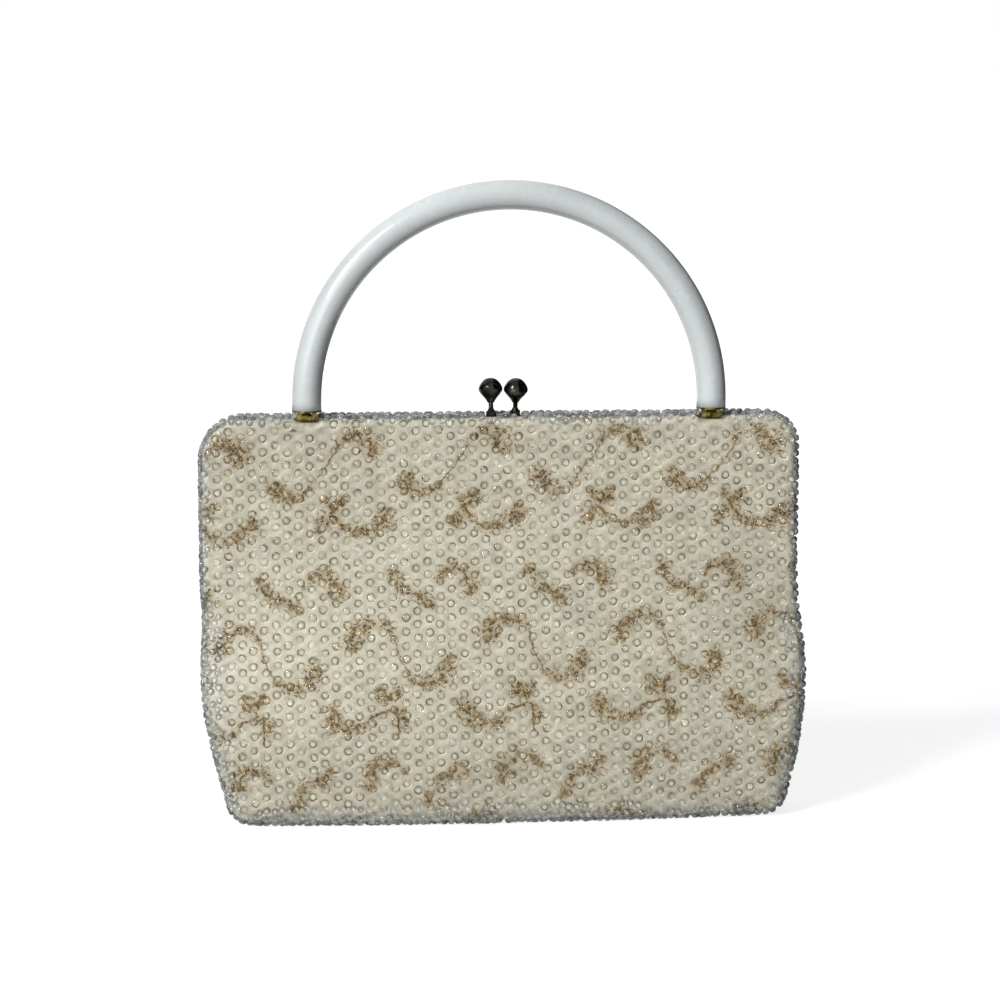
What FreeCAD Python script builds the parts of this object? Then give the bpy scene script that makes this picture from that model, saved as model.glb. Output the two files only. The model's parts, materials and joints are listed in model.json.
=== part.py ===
"""Kiss lock frame purse: a beaded pouch on a two-part hinged frame, with a ball clasp and a tube handle.

Millimetres, +Z up, front towards -Y, origin on the floor under the middle of the base.
Front pieces are modelled in place, and the rear ones are their mirror images across the XZ plane.
"""

import FreeCAD
import Part
import math
import os

Vec = FreeCAD.Vector

# Pouch, measured over the beads
BAG_WIDTH = 230.0  # at the frame
BAG_HEIGHT = 157.0  # floor to the top edge
BAG_DEPTH = 55.0  # at the belly, on the middle line
TOP_BOW = 0.2  # how far the top edge bows forward
BELLY_WIDTH = 233.0
BELLY_SIDE_DEPTH = 40.0  # along the gusset
WIDEST_LEVEL = 60.0
DEEPEST_LEVEL = 35.0
BASE_WIDTH = 214.0
BASE_DEPTH = 45.0
BASE_SIDE_DEPTH = 37.0
BASE_EDGE_ROUND = 3.0  # how far the base draws in below its edge
CLOTH = 3.0  # satin with its beads
SEAM_GAP = 0.15  # between cloth pieces that meet at a seam
LINING = 0.6
LINING_GAP = 0.3  # between a lining and what it lies on

# Base board, pocket
BOARD_THICKNESS = 2.0
BOARD_MARGIN = 5.0  # from the board to the panels
FLOOR_MARGIN = 1.0  # from the floor of the lining to the panels
POCKET_WIDTH = 110.0
POCKET_BOTTOM = 20.0
POCKET_TOP = 70.0

# Frame
FRAME_DEPTH = 7.0  # one half, front to back
FRAME_BAND = 9.0  # height of the bar, and width of the legs
FRAME_RADIUS = 14.5  # top corners, outside
SHEET = 0.8
MEETING_GAP = 0.6  # between the two halves when shut
LIP_HEIGHT = 1.2  # of the inner frame above the rail, hiding the cut edge of the cloth
CLAMP_SLOT = 1.3  # where the lining goes into the frame
LINING_TUCK = 1.5  # how far the lining goes in
LEG_END = 5.0  # legs stop this far above the hinge axis

# Hinge
HINGE_HEIGHT = 85.0
HINGE_EYE_RADIUS = 4.0
HINGE_NECK = 12.0  # from the axis up along the leg
RIVET_RADIUS = 1.5
RIVET_HEAD_RADIUS = 2.6
RIVET_HEAD = 0.9
TAB_GAP = 0.3  # between the two eyes
HEAD_GAP = 0.15
RUNNING_FIT = 0.05
SNUG_FIT = 0.02

# Crease of the cloth beside the hinge
CREASE_BELOW = 8.0
CREASE_ABOVE = 8.0

# Clasp
CLASP_OFFSET = 1.3  # how far the clasp sits to the right of the middle
BALL_RADIUS = 4.6
BALL_HEIGHT = 8.6  # centre above the top edge of the bag
BALL_GAP = 0.3  # between the balls as they pass
BALL_CROSSING = 0.9  # each centre stands this far past the meeting plane
BALL_NECK_LENGTH = 5.4  # from the centre down to the end of the neck
BALL_NECK_RADIUS = 1.4
STEM_RADIUS = 0.9
STEM_SEAT = 3.0  # how deep a stem goes into its ball, from the end of the neck
STEM_FLARE_RADIUS = 1.5
STEM_FLARE = 1.2
TANG_WIDTH = 3.8
TANG_BOTTOM_MARGIN = 1.2  # above the lower edge of the band
TANG_RISE = 0.4  # above the top edge of the bag
STEM_ROOT = 0.3  # how far a stem starts inside its tang
PIN_RIVET_RADIUS = 0.7
PIN_RIVET_HEAD_RADIUS = 1.3
PIN_RIVET_HEAD = 0.6
TANG_RIVET_LEVELS = (3.0, 6.4)  # above the lower edge of the band

# Handle
HANDLE_INSET = 38.0  # from the side of the bag to the middle of each end, if the handle were in the middle
HANDLE_OFFSET = 3.4  # how far the handle sits to the right of the middle
TUBE_RADIUS = 5.6
TUBE_BORE_RADIUS = 3.2
HANDLE_LEG = 3.6  # straight part at each end, below the half circle
CORE_RADIUS = 1.8
PLUG_MARGIN = 0.3  # from the end of the plug to where the tube starts to bend
FERRULE_FLANGE = 0.6
FERRULE_GAP = 0.3  # between the flange and the eye
CORE_SEAT = 3.0  # how deep the core goes into each ferrule
PLUG_FIT = 0.1

# Handle hinge
PIVOT_RADIUS = 1.0
PIVOT_DROP = 0.8  # below the top edge of the bag
PIVOT_SETBACK = 4.9  # in front of the inner frame's wall
KNUCKLE_RADIUS = 1.7
LUG_EYE_WIDTH = 3.2
CHEEK_GAP = 0.3
CHEEK_WIDTH = 1.8
LUG_WIDTH = 7.6
LUG_WEB = 1.7
LUG_RIVET_SPREAD = 2.4  # from the middle of the lug
LUG_RIVET_LEVEL = 3.2  # above the lower edge of the band
NOTCH_CLEARANCE = 0.6  # beside the tube
NOTCH_DEPTH = 5.0  # below the top edge of the bag

# Modelling aids
OVERRUN = 5.0
LEVEL_COUNT = 7

# Derived places
FRAME_HALF = BAG_WIDTH / 2 - CLOTH
FRAME_TOP = BAG_HEIGHT - CLOTH
BAND_BOTTOM = FRAME_TOP - FRAME_BAND
WALL_BACK = -MEETING_GAP / 2  # the face that meets the other half
WALL_FRONT = WALL_BACK - SHEET
TANG_FRONT = WALL_FRONT - SHEET
RAIL_FRONT = WALL_BACK - FRAME_DEPTH
RAIL_BACK = RAIL_FRONT + SHEET
CLOTH_FRONT = RAIL_FRONT - CLOTH
TOP_DEPTH = -2 * CLOTH_FRONT
FLANGE_FRONT = RAIL_BACK + CLAMP_SLOT
LEG_BOTTOM = HINGE_HEIGHT + LEG_END
TAB_X = FRAME_HALF - FRAME_BAND
REAR_TAB_X = TAB_X + SHEET + TAB_GAP
CREASE_TOP = HINGE_HEIGHT + CREASE_ABOVE
CREASE_BOTTOM = HINGE_HEIGHT - CREASE_BELOW
BALL_Z = BAG_HEIGHT + BALL_HEIGHT
BALL_X = BALL_RADIUS + BALL_GAP / 2
HANDLE_X = BAG_WIDTH / 2 - HANDLE_INSET
PIVOT_Y = WALL_FRONT - PIVOT_SETBACK
PIVOT_Z = BAG_HEIGHT - PIVOT_DROP
FLANGE_BOTTOM = PIVOT_Z + KNUCKLE_RADIUS + FERRULE_GAP
TUBE_END = FLANGE_BOTTOM + FERRULE_FLANGE
ARCH_Z = TUBE_END + HANDLE_LEG
PLUG_TOP = ARCH_Z - PLUG_MARGIN
BOARD_BOTTOM = CLOTH + SEAM_GAP
BOARD_TOP = BOARD_BOTTOM + BOARD_THICKNESS
LINING_FLOOR = BOARD_TOP + LINING_GAP
LINING_INSET = CLOTH + LINING_GAP


def box(x0, x1, y0, y1, z0, z1):
    """A block between two corners."""
    return Part.makeBox(x1 - x0, y1 - y0, z1 - z0, Vec(x0, y0, z0))


def rod(start, end, radius):
    """A round bar from start to end."""
    return Part.makeCylinder(radius, (end - start).Length, start, end - start)


def rear(shape):
    """The mirror image of a front piece across the XZ plane."""
    return shape.mirror(Vec(0, 0, 0), Vec(0, 1, 0))


def left(shape):
    """The mirror image of a right-hand piece across the YZ plane."""
    return shape.mirror(Vec(0, 0, 0), Vec(1, 0, 0))


def set_over(shape):
    """A piece of the handle or its hinge, moved over to where the handle sits."""
    return shape.translated(Vec(HANDLE_OFFSET, 0, 0))


def fused(first, *others):
    """One solid from touching or overlapping pieces."""
    return first.fuse(list(others)).removeSplitter()


# Pouch form


def eased(low, high, share):
    """Runs from low to high with a level start and a level end."""
    share = min(max(share, 0.0), 1.0)
    return low + (high - low) * (1 - math.cos(math.pi * share)) / 2


def rounded(low, high, share):
    """Runs from low to high, steep at the start and level at the end."""
    return low + (high - low) * math.sin(math.pi / 2 * min(max(share, 0.0), 1.0))


def swelled(z, base, belly, belly_level, top, top_level):
    """A size at a height: it swells from the base to the belly, then eases to the top level's size."""
    if z < belly_level:
        return rounded(base, belly, (z - CLOTH) / (belly_level - CLOTH))
    return eased(belly, top, (z - belly_level) / (top_level - belly_level))


def form(z):
    """The beaded outside at a height: half width, half depth at the side, half depth on the middle line."""
    width = swelled(z, BASE_WIDTH, BELLY_WIDTH, WIDEST_LEVEL, BAG_WIDTH, HINGE_HEIGHT)
    side = swelled(z, BASE_SIDE_DEPTH, BELLY_SIDE_DEPTH, DEEPEST_LEVEL, TOP_DEPTH, HINGE_HEIGHT)
    middle = swelled(z, BASE_DEPTH, BAG_DEPTH, DEEPEST_LEVEL, TOP_DEPTH + 2 * TOP_BOW, BAND_BOTTOM)
    return width / 2, side / 2, middle / 2


def closed_strip(front, thickness):
    """Closed outline between a bowed line and its copy further back."""
    start = front.StartPoint
    end = front.EndPoint
    depth = Vec(0, thickness, 0)
    back = front.toShape()
    back.translate(depth)
    sides = [Part.makeLine(end, end + depth), Part.makeLine(start + depth, start)]
    return Part.Wire(Part.sortEdges([front.toShape(), sides[0], back, sides[1]])[0])


def bowed_section(z, inset, thickness, edge_inset):
    """Closed outline of a front cloth at a height, set in from the beaded outside."""
    half, side, middle = form(z)
    half -= edge_inset
    front = Part.Arc(Vec(-half, inset - side, z), Vec(0, inset - middle, z), Vec(half, inset - side, z))
    return closed_strip(front, thickness)


def levels(bottom, top):
    """Evenly spaced heights for a loft."""
    return [bottom + (top - bottom) * i / (LEVEL_COUNT - 1) for i in range(LEVEL_COUNT)]


def bowed_sheet(bottom, top, inset, thickness, edge_inset):
    """A front cloth between two heights, set in from the beaded outside."""
    sections = [bowed_section(z, inset, thickness, edge_inset) for z in levels(bottom, top)]
    return Part.makeLoft(sections, True, False)


def front_panel_lower():
    return bowed_sheet(CLOTH + SEAM_GAP, CREASE_BOTTOM - SEAM_GAP, 0, CLOTH, 0)


def front_panel_crease():
    """The strip of the front panel that folds when the frame opens, with its returns round the legs."""
    strip = bowed_sheet(CREASE_BOTTOM, CREASE_TOP - SEAM_GAP, 0, CLOTH, 0)
    half = BAG_WIDTH / 2
    side = box(FRAME_HALF, half, CLOTH_FRONT + CLOTH / 2, TANG_FRONT, CREASE_BOTTOM, CREASE_TOP - SEAM_GAP)
    return fused(strip, side, left(side))


def panel_upper():
    """A panel above the crease: it covers the front of the rail and wraps over its top and sides."""
    skin = bowed_sheet(CREASE_TOP, BAG_HEIGHT, 0, CLOTH, 0)
    skin = skin.common(bow(CLOTH, CREASE_TOP - OVERRUN, -BAG_DEPTH, 0))
    wrap = band(CLOTH, 0, CLOTH_FRONT + CLOTH / 2, TANG_FRONT, CREASE_TOP)
    return fused(skin, wrap)


def front_panel_upper():
    """As the rear one, with a gap in the top edge for each end of the handle."""
    return panel_upper().cut(handle_notches())


def right_gusset():
    """The side strip between the two panels, from the base to the crease."""
    sections = []
    for z in levels(CLOTH + SEAM_GAP, CREASE_BOTTOM - SEAM_GAP):
        half, side, _ = form(z)
        reach = side - CLOTH - SEAM_GAP
        corners = [
            Vec(half - CLOTH, -reach, z),
            Vec(half, -reach, z),
            Vec(half, reach, z),
            Vec(half - CLOTH, reach, z),
        ]
        sections.append(Part.makePolygon(corners + corners[:1]))
    return Part.makeLoft(sections, True, False)


def base_outline(z, inset):
    """Closed outline of the base: bowed along the front and back, straight at the sides."""
    half, side, middle = (size - inset for size in form(CLOTH))
    front = Part.Arc(Vec(-half, -side, z), Vec(0, -middle, z), Vec(half, -side, z))
    back = Part.Arc(Vec(half, side, z), Vec(0, middle, z), Vec(-half, side, z))
    ends = [
        Part.LineSegment(front.EndPoint, back.StartPoint),
        Part.LineSegment(back.EndPoint, front.StartPoint),
    ]
    return Part.Wire([front.toShape(), ends[0].toShape(), back.toShape(), ends[1].toShape()])


def base_panel():
    return Part.makeLoft([base_outline(0, BASE_EDGE_ROUND), base_outline(CLOTH, 0)], True, True)


def base_plate(bottom, thickness, margin):
    """A flat plate that lies inside the panels on the base."""
    outline = base_outline(bottom, CLOTH + margin)
    return Part.Face(outline).extrude(Vec(0, 0, thickness))


def front_lining_lower():
    edge_inset = LINING_INSET + LINING + SEAM_GAP
    return bowed_sheet(LINING_FLOOR, CREASE_BOTTOM - SEAM_GAP, LINING_INSET, LINING, edge_inset)


def front_lining_crease():
    """The strip of lining behind the crease, between the two legs."""
    sheet = bowed_sheet(CREASE_BOTTOM, CREASE_TOP - SEAM_GAP, LINING_INSET, LINING, LINING_INSET)
    half = TAB_X - RIVET_HEAD_RADIUS
    return sheet.common(box(-half, half, -BAG_DEPTH, 0, CREASE_BOTTOM, CREASE_TOP))


def right_gusset_lining():
    sections = []
    for z in levels(LINING_FLOOR, CREASE_BOTTOM - SEAM_GAP):
        half, side, _ = form(z)
        outer = half - LINING_INSET
        reach = side - LINING_INSET
        corners = [
            Vec(outer - LINING, -reach, z),
            Vec(outer, -reach, z),
            Vec(outer, reach, z),
            Vec(outer - LINING, reach, z),
        ]
        sections.append(Part.makePolygon(corners + corners[:1]))
    return Part.makeLoft(sections, True, False)


def front_lining_upper():
    """Lining of the upper front panel, with its top and side edges tucked into the frame."""
    half = TAB_X + LINING_TUCK
    edge = RAIL_BACK + (CLAMP_SLOT - LINING) / 2
    sections = []
    for z in levels(CREASE_TOP, BAND_BOTTOM + LINING_TUCK):
        bulge = form(z)[2] + CLOTH_FRONT
        front = Part.Arc(Vec(-half, edge, z), Vec(0, edge - bulge, z), Vec(half, edge, z))
        sections.append(closed_strip(front, LINING))
    return Part.makeLoft(sections, True, False)


def slip_pocket():
    """A flat pocket sewn to the rear lining."""
    inset = LINING_INSET + LINING + LINING_GAP
    sheet = bowed_sheet(POCKET_BOTTOM, POCKET_TOP, inset, LINING, inset)
    half = POCKET_WIDTH / 2
    return rear(sheet.common(box(-half, half, -BAG_DEPTH, 0, POCKET_BOTTOM, POCKET_TOP)))


# Frame


def bow(outset, bottom, y0, y1):
    """A slab with the frame's outline, an inverted U filled in, grown by outset, from y0 to y1."""
    half = FRAME_HALF + outset
    top = FRAME_TOP + outset
    radius = FRAME_RADIUS + outset
    spring = top - radius
    lean = radius * (1 - math.sqrt(0.5))
    shoulder = half - lean
    right_arc = Part.Arc(Vec(half, y0, spring), Vec(shoulder, y0, top - lean), Vec(half - radius, y0, top))
    left_arc = Part.Arc(Vec(radius - half, y0, top), Vec(-shoulder, y0, top - lean), Vec(-half, y0, spring))
    sides = [
        Part.LineSegment(Vec(-half, y0, bottom), Vec(half, y0, bottom)),
        Part.LineSegment(Vec(half, y0, bottom), right_arc.StartPoint),
        right_arc,
        Part.LineSegment(right_arc.EndPoint, left_arc.StartPoint),
        left_arc,
        Part.LineSegment(left_arc.EndPoint, Vec(-half, y0, bottom)),
    ]
    outline = Part.Wire([side.toShape() for side in sides])
    return Part.Face(outline).extrude(Vec(0, y1 - y0, 0))


def band(outset, inset, y0, y1, bottom):
    """A strip that follows the frame's outline, from outset outside it to inset inside it."""
    return bow(outset, bottom, y0, y1).cut(bow(-inset, bottom - OVERRUN, y0, y1))


def handle_notches():
    """The two gaps in the top edge in front of the handle's ends."""
    half = TUBE_RADIUS + NOTCH_CLEARANCE
    right = box(
        HANDLE_X - half,
        HANDLE_X + half,
        CLOTH_FRONT - OVERRUN,
        TANG_FRONT,
        BAG_HEIGHT - NOTCH_DEPTH,
        BAG_HEIGHT + OVERRUN,
    )
    return set_over(right.fuse(left(right)))


def rail():
    """The outer rail of one half, which the cloth covers: a front wall, and a web along its outer edge."""
    wall = band(0, FRAME_BAND, RAIL_FRONT, RAIL_BACK, LEG_BOTTOM)
    web = band(0, SHEET, RAIL_BACK, TANG_FRONT, LEG_BOTTOM)
    return fused(wall, web)


def front_rail():
    return rail().cut(handle_notches())


def hinge_tab(x):
    """An eye on the hinge axis, with its neck up along a right-hand leg, for the front half."""
    eye = rod(Vec(x, 0, HINGE_HEIGHT), Vec(x + SHEET, 0, HINGE_HEIGHT), HINGE_EYE_RADIUS)
    neck = box(x, x + SHEET, -HINGE_EYE_RADIUS, WALL_BACK, HINGE_HEIGHT, HINGE_HEIGHT + HINGE_NECK)
    return fused(eye, neck)


def hinge_hole(fit):
    axis_start = Vec(TAB_X - OVERRUN, 0, HINGE_HEIGHT)
    return rod(axis_start, Vec(REAR_TAB_X + OVERRUN, 0, HINGE_HEIGHT), RIVET_RADIUS + fit)


def inner_frame(tab, fit):
    """The inner frame of one half: the wall that meets the other half, and the lining's clamping flange."""
    wall = band(LIP_HEIGHT, FRAME_BAND, WALL_FRONT, WALL_BACK, LEG_BOTTOM)
    flange = band(SHEET - FRAME_BAND, FRAME_BAND, FLANGE_FRONT, WALL_FRONT, LEG_BOTTOM)
    hole = hinge_hole(fit)
    frame = fused(wall, flange, tab, left(tab))
    return frame.cut([hole, left(hole)])


def front_inner_frame():
    frame = inner_frame(hinge_tab(TAB_X), RUNNING_FIT)
    return frame.cut([clasp_rivet_holes(-1), set_over(lug_rivet_holes())])


def rear_inner_frame():
    """As the front one, with its hinge eyes stepped outwards to lie beside the front eyes."""
    step = box(
        TAB_X + SHEET,
        REAR_TAB_X,
        -HINGE_EYE_RADIUS,
        WALL_BACK,
        LEG_BOTTOM,
        HINGE_HEIGHT + HINGE_NECK,
    )
    frame = inner_frame(fused(hinge_tab(REAR_TAB_X), step), SNUG_FIT)
    return rear(frame.cut(clasp_rivet_holes(1)))


def right_hinge_rivet():
    start = Vec(TAB_X - HEAD_GAP, 0, HINGE_HEIGHT)
    end = Vec(REAR_TAB_X + SHEET + HEAD_GAP, 0, HINGE_HEIGHT)
    head = Vec(RIVET_HEAD, 0, 0)
    return fused(
        rod(start, end, RIVET_RADIUS),
        rod(start - head, start, RIVET_HEAD_RADIUS),
        rod(end, end + head, RIVET_HEAD_RADIUS),
    )


# Clasp


def flush_rivet(x, z):
    """A small rivet through the inner frame's wall and what lies on it, flush where the halves meet."""
    shank = rod(Vec(x, TANG_FRONT, z), Vec(x, WALL_BACK, z), PIN_RIVET_RADIUS)
    head_front = Vec(x, TANG_FRONT - PIN_RIVET_HEAD, z)
    return fused(shank, rod(head_front, Vec(x, TANG_FRONT, z), PIN_RIVET_HEAD_RADIUS))


def rivet_hole(x, z):
    return rod(
        Vec(x, TANG_FRONT - OVERRUN, z),
        Vec(x, WALL_BACK + OVERRUN, z),
        PIN_RIVET_RADIUS + SNUG_FIT,
    )


def clasp_rivet_places(side):
    return [(CLASP_OFFSET + side * BALL_X, BAND_BOTTOM + level) for level in TANG_RIVET_LEVELS]


def clasp_rivet_holes(side):
    holes = [rivet_hole(x, z) for x, z in clasp_rivet_places(side)]
    return holes[0].fuse(holes[1:])


def clasp_rivets(side):
    return Part.makeCompound([flush_rivet(x, z) for x, z in clasp_rivet_places(side)])


def stem_ends(side):
    """Where a stem leaves its tang, and the middle of its ball, which stands past the meeting plane."""
    x = CLASP_OFFSET + side * BALL_X
    foot = Vec(x, (TANG_FRONT + WALL_FRONT) / 2, BAG_HEIGHT + TANG_RISE)
    return foot, Vec(x, BALL_CROSSING, BALL_Z)


def clasp_arm(side):
    """The flat tang riveted inside the frame, and the round stem that leans over to the ball."""
    foot, centre = stem_ends(side)
    up = (centre - foot).normalize()
    tang = box(
        foot.x - TANG_WIDTH / 2,
        foot.x + TANG_WIDTH / 2,
        TANG_FRONT,
        WALL_FRONT,
        BAND_BOTTOM + TANG_BOTTOM_MARGIN,
        foot.z,
    )
    start = foot - up * STEM_ROOT
    stem_end = centre - up * (BALL_NECK_LENGTH - STEM_SEAT)
    flare = Part.makeCone(STEM_FLARE_RADIUS, STEM_RADIUS, STEM_FLARE, foot, up)
    arm = fused(tang, rod(start, stem_end, STEM_RADIUS), flare)
    return arm.cut(clasp_rivet_holes(side))


def clasp_ball(side):
    """A round ball drawn down into a neck, bored for its stem."""
    foot, centre = stem_ends(side)
    down = (foot - centre).normalize()
    tangent = BALL_RADIUS * math.sqrt(0.5)
    neck_start = centre + down * tangent
    neck = Part.makeCone(tangent, BALL_NECK_RADIUS, BALL_NECK_LENGTH - tangent, neck_start, down)
    neck_end = centre + down * BALL_NECK_LENGTH
    bore = rod(neck_end - down * STEM_SEAT, neck_end + down * OVERRUN, STEM_RADIUS + SNUG_FIT)
    return fused(Part.makeSphere(BALL_RADIUS, centre), neck).cut(bore)


# Handle


def arch(radius, leg_bottom):
    """A round bar along the handle's middle line: a half circle on two straight legs."""
    centre = Vec(0, PIVOT_Y, ARCH_Z)
    start = Vec(HANDLE_X, PIVOT_Y, ARCH_Z)
    disc = Part.Face(Part.Wire(Part.makeCircle(radius, start, Vec(0, 0, 1))))
    bend = disc.revolve(centre, Vec(0, -1, 0), 180)
    leg = rod(Vec(HANDLE_X, PIVOT_Y, leg_bottom), start, radius)
    return fused(bend, leg, left(leg))


def handle_tube():
    return arch(TUBE_RADIUS, TUBE_END).cut(arch(TUBE_BORE_RADIUS, TUBE_END))


def handle_core():
    return arch(CORE_RADIUS, PLUG_TOP - CORE_SEAT)


def on_pivot(x0, x1, radius):
    """A round bar along the handle's pivot axis."""
    return rod(Vec(x0, PIVOT_Y, PIVOT_Z), Vec(x1, PIVOT_Y, PIVOT_Z), radius)


def right_ferrule():
    """The end fitting of the tube: a plug, a flange and two cheeks astride the lug."""
    foot = Vec(HANDLE_X, PIVOT_Y, FLANGE_BOTTOM)
    seat = Vec(HANDLE_X, PIVOT_Y, TUBE_END)
    plug_top = Vec(HANDLE_X, PIVOT_Y, PLUG_TOP)
    pieces = [
        rod(foot, seat, TUBE_RADIUS),
        rod(seat, plug_top, TUBE_BORE_RADIUS - PLUG_FIT),
    ]
    inner = LUG_EYE_WIDTH / 2 + CHEEK_GAP
    for x0, x1 in ((inner, inner + CHEEK_WIDTH), (-inner - CHEEK_WIDTH, -inner)):
        pieces.append(on_pivot(HANDLE_X + x0, HANDLE_X + x1, KNUCKLE_RADIUS))
        pieces.append(
            box(
                HANDLE_X + x0,
                HANDLE_X + x1,
                PIVOT_Y - KNUCKLE_RADIUS,
                PIVOT_Y + KNUCKLE_RADIUS,
                PIVOT_Z,
                FLANGE_BOTTOM,
            )
        )
    core_hole = rod(plug_top - Vec(0, 0, CORE_SEAT), plug_top + Vec(0, 0, OVERRUN), CORE_RADIUS + SNUG_FIT)
    pin_hole = on_pivot(HANDLE_X - TUBE_RADIUS, HANDLE_X + TUBE_RADIUS, PIVOT_RADIUS + SNUG_FIT)
    return fused(*pieces).cut([core_hole, pin_hole])


def right_pivot_pin():
    reach = LUG_EYE_WIDTH / 2 + CHEEK_GAP + CHEEK_WIDTH
    return on_pivot(HANDLE_X - reach, HANDLE_X + reach, PIVOT_RADIUS)


def lug_rivet_places():
    level = BAND_BOTTOM + LUG_RIVET_LEVEL
    return [
        (side * HANDLE_X + offset, level)
        for side in (-1, 1)
        for offset in (-LUG_RIVET_SPREAD, LUG_RIVET_SPREAD)
    ]


def lug_rivet_holes():
    holes = [rivet_hole(x, z) for x, z in lug_rivet_places()]
    return holes[0].fuse(holes[1:])


def lug_rivets():
    return Part.makeCompound([flush_rivet(x, z) for x, z in lug_rivet_places()])


def right_lug():
    """The bracket for one end of the handle: a plate on the inner frame's wall, a web and an eye."""
    half = LUG_EYE_WIDTH / 2
    web_bottom = PIVOT_Z - KNUCKLE_RADIUS
    web_top = web_bottom + LUG_WEB
    plate = box(
        HANDLE_X - LUG_WIDTH / 2,
        HANDLE_X + LUG_WIDTH / 2,
        TANG_FRONT,
        WALL_FRONT,
        BAND_BOTTOM + TANG_BOTTOM_MARGIN,
        web_top,
    )
    web = box(HANDLE_X - half, HANDLE_X + half, PIVOT_Y, TANG_FRONT, web_bottom, web_top)
    eye = on_pivot(HANDLE_X - half, HANDLE_X + half, KNUCKLE_RADIUS)
    hole = on_pivot(HANDLE_X - LUG_WIDTH, HANDLE_X + LUG_WIDTH, PIVOT_RADIUS + RUNNING_FIT)
    return fused(plate, web, eye).cut([hole, lug_rivet_holes()])


def pieces():
    """Every piece of the purse by name."""
    gusset = right_gusset()
    gusset_lining = right_gusset_lining()
    lower = front_panel_lower()
    crease = front_panel_crease()
    lining_lower = front_lining_lower()
    lining_crease = front_lining_crease()
    lining_upper = front_lining_upper()
    rivet = right_hinge_rivet()
    ferrule = right_ferrule()
    pin = right_pivot_pin()
    lug = right_lug()
    return {
        "base_panel": base_panel(),
        "base_board": base_plate(BOARD_BOTTOM, BOARD_THICKNESS, BOARD_MARGIN),
        "front_panel_lower": lower,
        "rear_panel_lower": rear(lower),
        "front_panel_crease": crease,
        "rear_panel_crease": rear(crease),
        "left_gusset": left(gusset),
        "right_gusset": gusset,
        "base_lining": base_plate(BOARD_TOP, LINING, FLOOR_MARGIN),
        "front_lining_lower": lining_lower,
        "rear_lining_lower": rear(lining_lower),
        "front_lining_crease": lining_crease,
        "rear_lining_crease": rear(lining_crease),
        "left_gusset_lining": left(gusset_lining),
        "right_gusset_lining": gusset_lining,
        "slip_pocket": slip_pocket(),
        "front_rail": front_rail(),
        "front_inner_frame": front_inner_frame(),
        "front_panel_upper": front_panel_upper(),
        "front_lining_upper": lining_upper,
        "front_clasp_arm": clasp_arm(-1),
        "front_clasp_ball": clasp_ball(-1),
        "front_clasp_rivets": clasp_rivets(-1),
        "left_handle_lug": set_over(left(lug)),
        "right_handle_lug": set_over(lug),
        "handle_lug_rivets": set_over(lug_rivets()),
        "rear_rail": rear(rail()),
        "rear_inner_frame": rear_inner_frame(),
        "rear_panel_upper": rear(panel_upper()),
        "rear_lining_upper": rear(lining_upper),
        "rear_clasp_arm": rear(clasp_arm(1)),
        "rear_clasp_ball": rear(clasp_ball(1)),
        "rear_clasp_rivets": rear(clasp_rivets(1)),
        "left_hinge_rivet": left(rivet),
        "right_hinge_rivet": rivet,
        "handle_tube": set_over(handle_tube()),
        "handle_core": set_over(handle_core()),
        "left_handle_ferrule": set_over(left(ferrule)),
        "right_handle_ferrule": set_over(ferrule),
        "left_pivot_pin": set_over(left(pin)),
        "right_pivot_pin": set_over(pin),
    }


def main():
    os.makedirs("parts", exist_ok=True)
    for name, shape in pieces().items():
        shape.exportStep(f"parts/{name}.step")
        print(name, shape.isValid(), len(shape.Solids), round(shape.Volume, 1))


main()
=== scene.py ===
import itertools
import json
import math
import random

import bmesh
import bpy
from mathutils import Matrix, Vector, kdtree, noise
from mathutils.bvhtree import BVHTree


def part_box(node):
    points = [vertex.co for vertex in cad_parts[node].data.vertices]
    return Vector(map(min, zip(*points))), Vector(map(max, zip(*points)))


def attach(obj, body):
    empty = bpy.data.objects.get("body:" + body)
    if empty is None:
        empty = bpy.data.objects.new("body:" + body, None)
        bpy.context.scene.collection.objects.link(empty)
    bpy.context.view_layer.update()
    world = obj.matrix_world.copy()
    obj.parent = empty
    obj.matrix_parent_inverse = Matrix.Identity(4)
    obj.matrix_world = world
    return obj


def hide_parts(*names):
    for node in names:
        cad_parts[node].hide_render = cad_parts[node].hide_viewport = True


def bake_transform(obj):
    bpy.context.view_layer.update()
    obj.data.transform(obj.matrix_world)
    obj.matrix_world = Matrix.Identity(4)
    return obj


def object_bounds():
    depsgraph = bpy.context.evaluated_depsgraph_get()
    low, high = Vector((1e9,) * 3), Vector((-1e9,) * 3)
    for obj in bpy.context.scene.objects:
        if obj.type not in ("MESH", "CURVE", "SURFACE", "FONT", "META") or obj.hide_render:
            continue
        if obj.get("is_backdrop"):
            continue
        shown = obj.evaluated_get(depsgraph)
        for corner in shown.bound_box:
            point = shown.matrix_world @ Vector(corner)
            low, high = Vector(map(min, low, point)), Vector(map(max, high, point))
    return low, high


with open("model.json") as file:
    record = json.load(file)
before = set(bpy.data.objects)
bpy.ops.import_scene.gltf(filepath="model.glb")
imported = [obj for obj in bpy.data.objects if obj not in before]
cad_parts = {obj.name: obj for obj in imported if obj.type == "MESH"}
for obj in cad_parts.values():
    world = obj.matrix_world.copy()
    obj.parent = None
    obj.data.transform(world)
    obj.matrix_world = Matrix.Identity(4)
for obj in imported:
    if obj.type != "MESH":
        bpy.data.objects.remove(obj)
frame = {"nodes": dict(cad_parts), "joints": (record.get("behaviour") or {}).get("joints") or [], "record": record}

cad_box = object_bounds()
random.seed(7)

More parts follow.
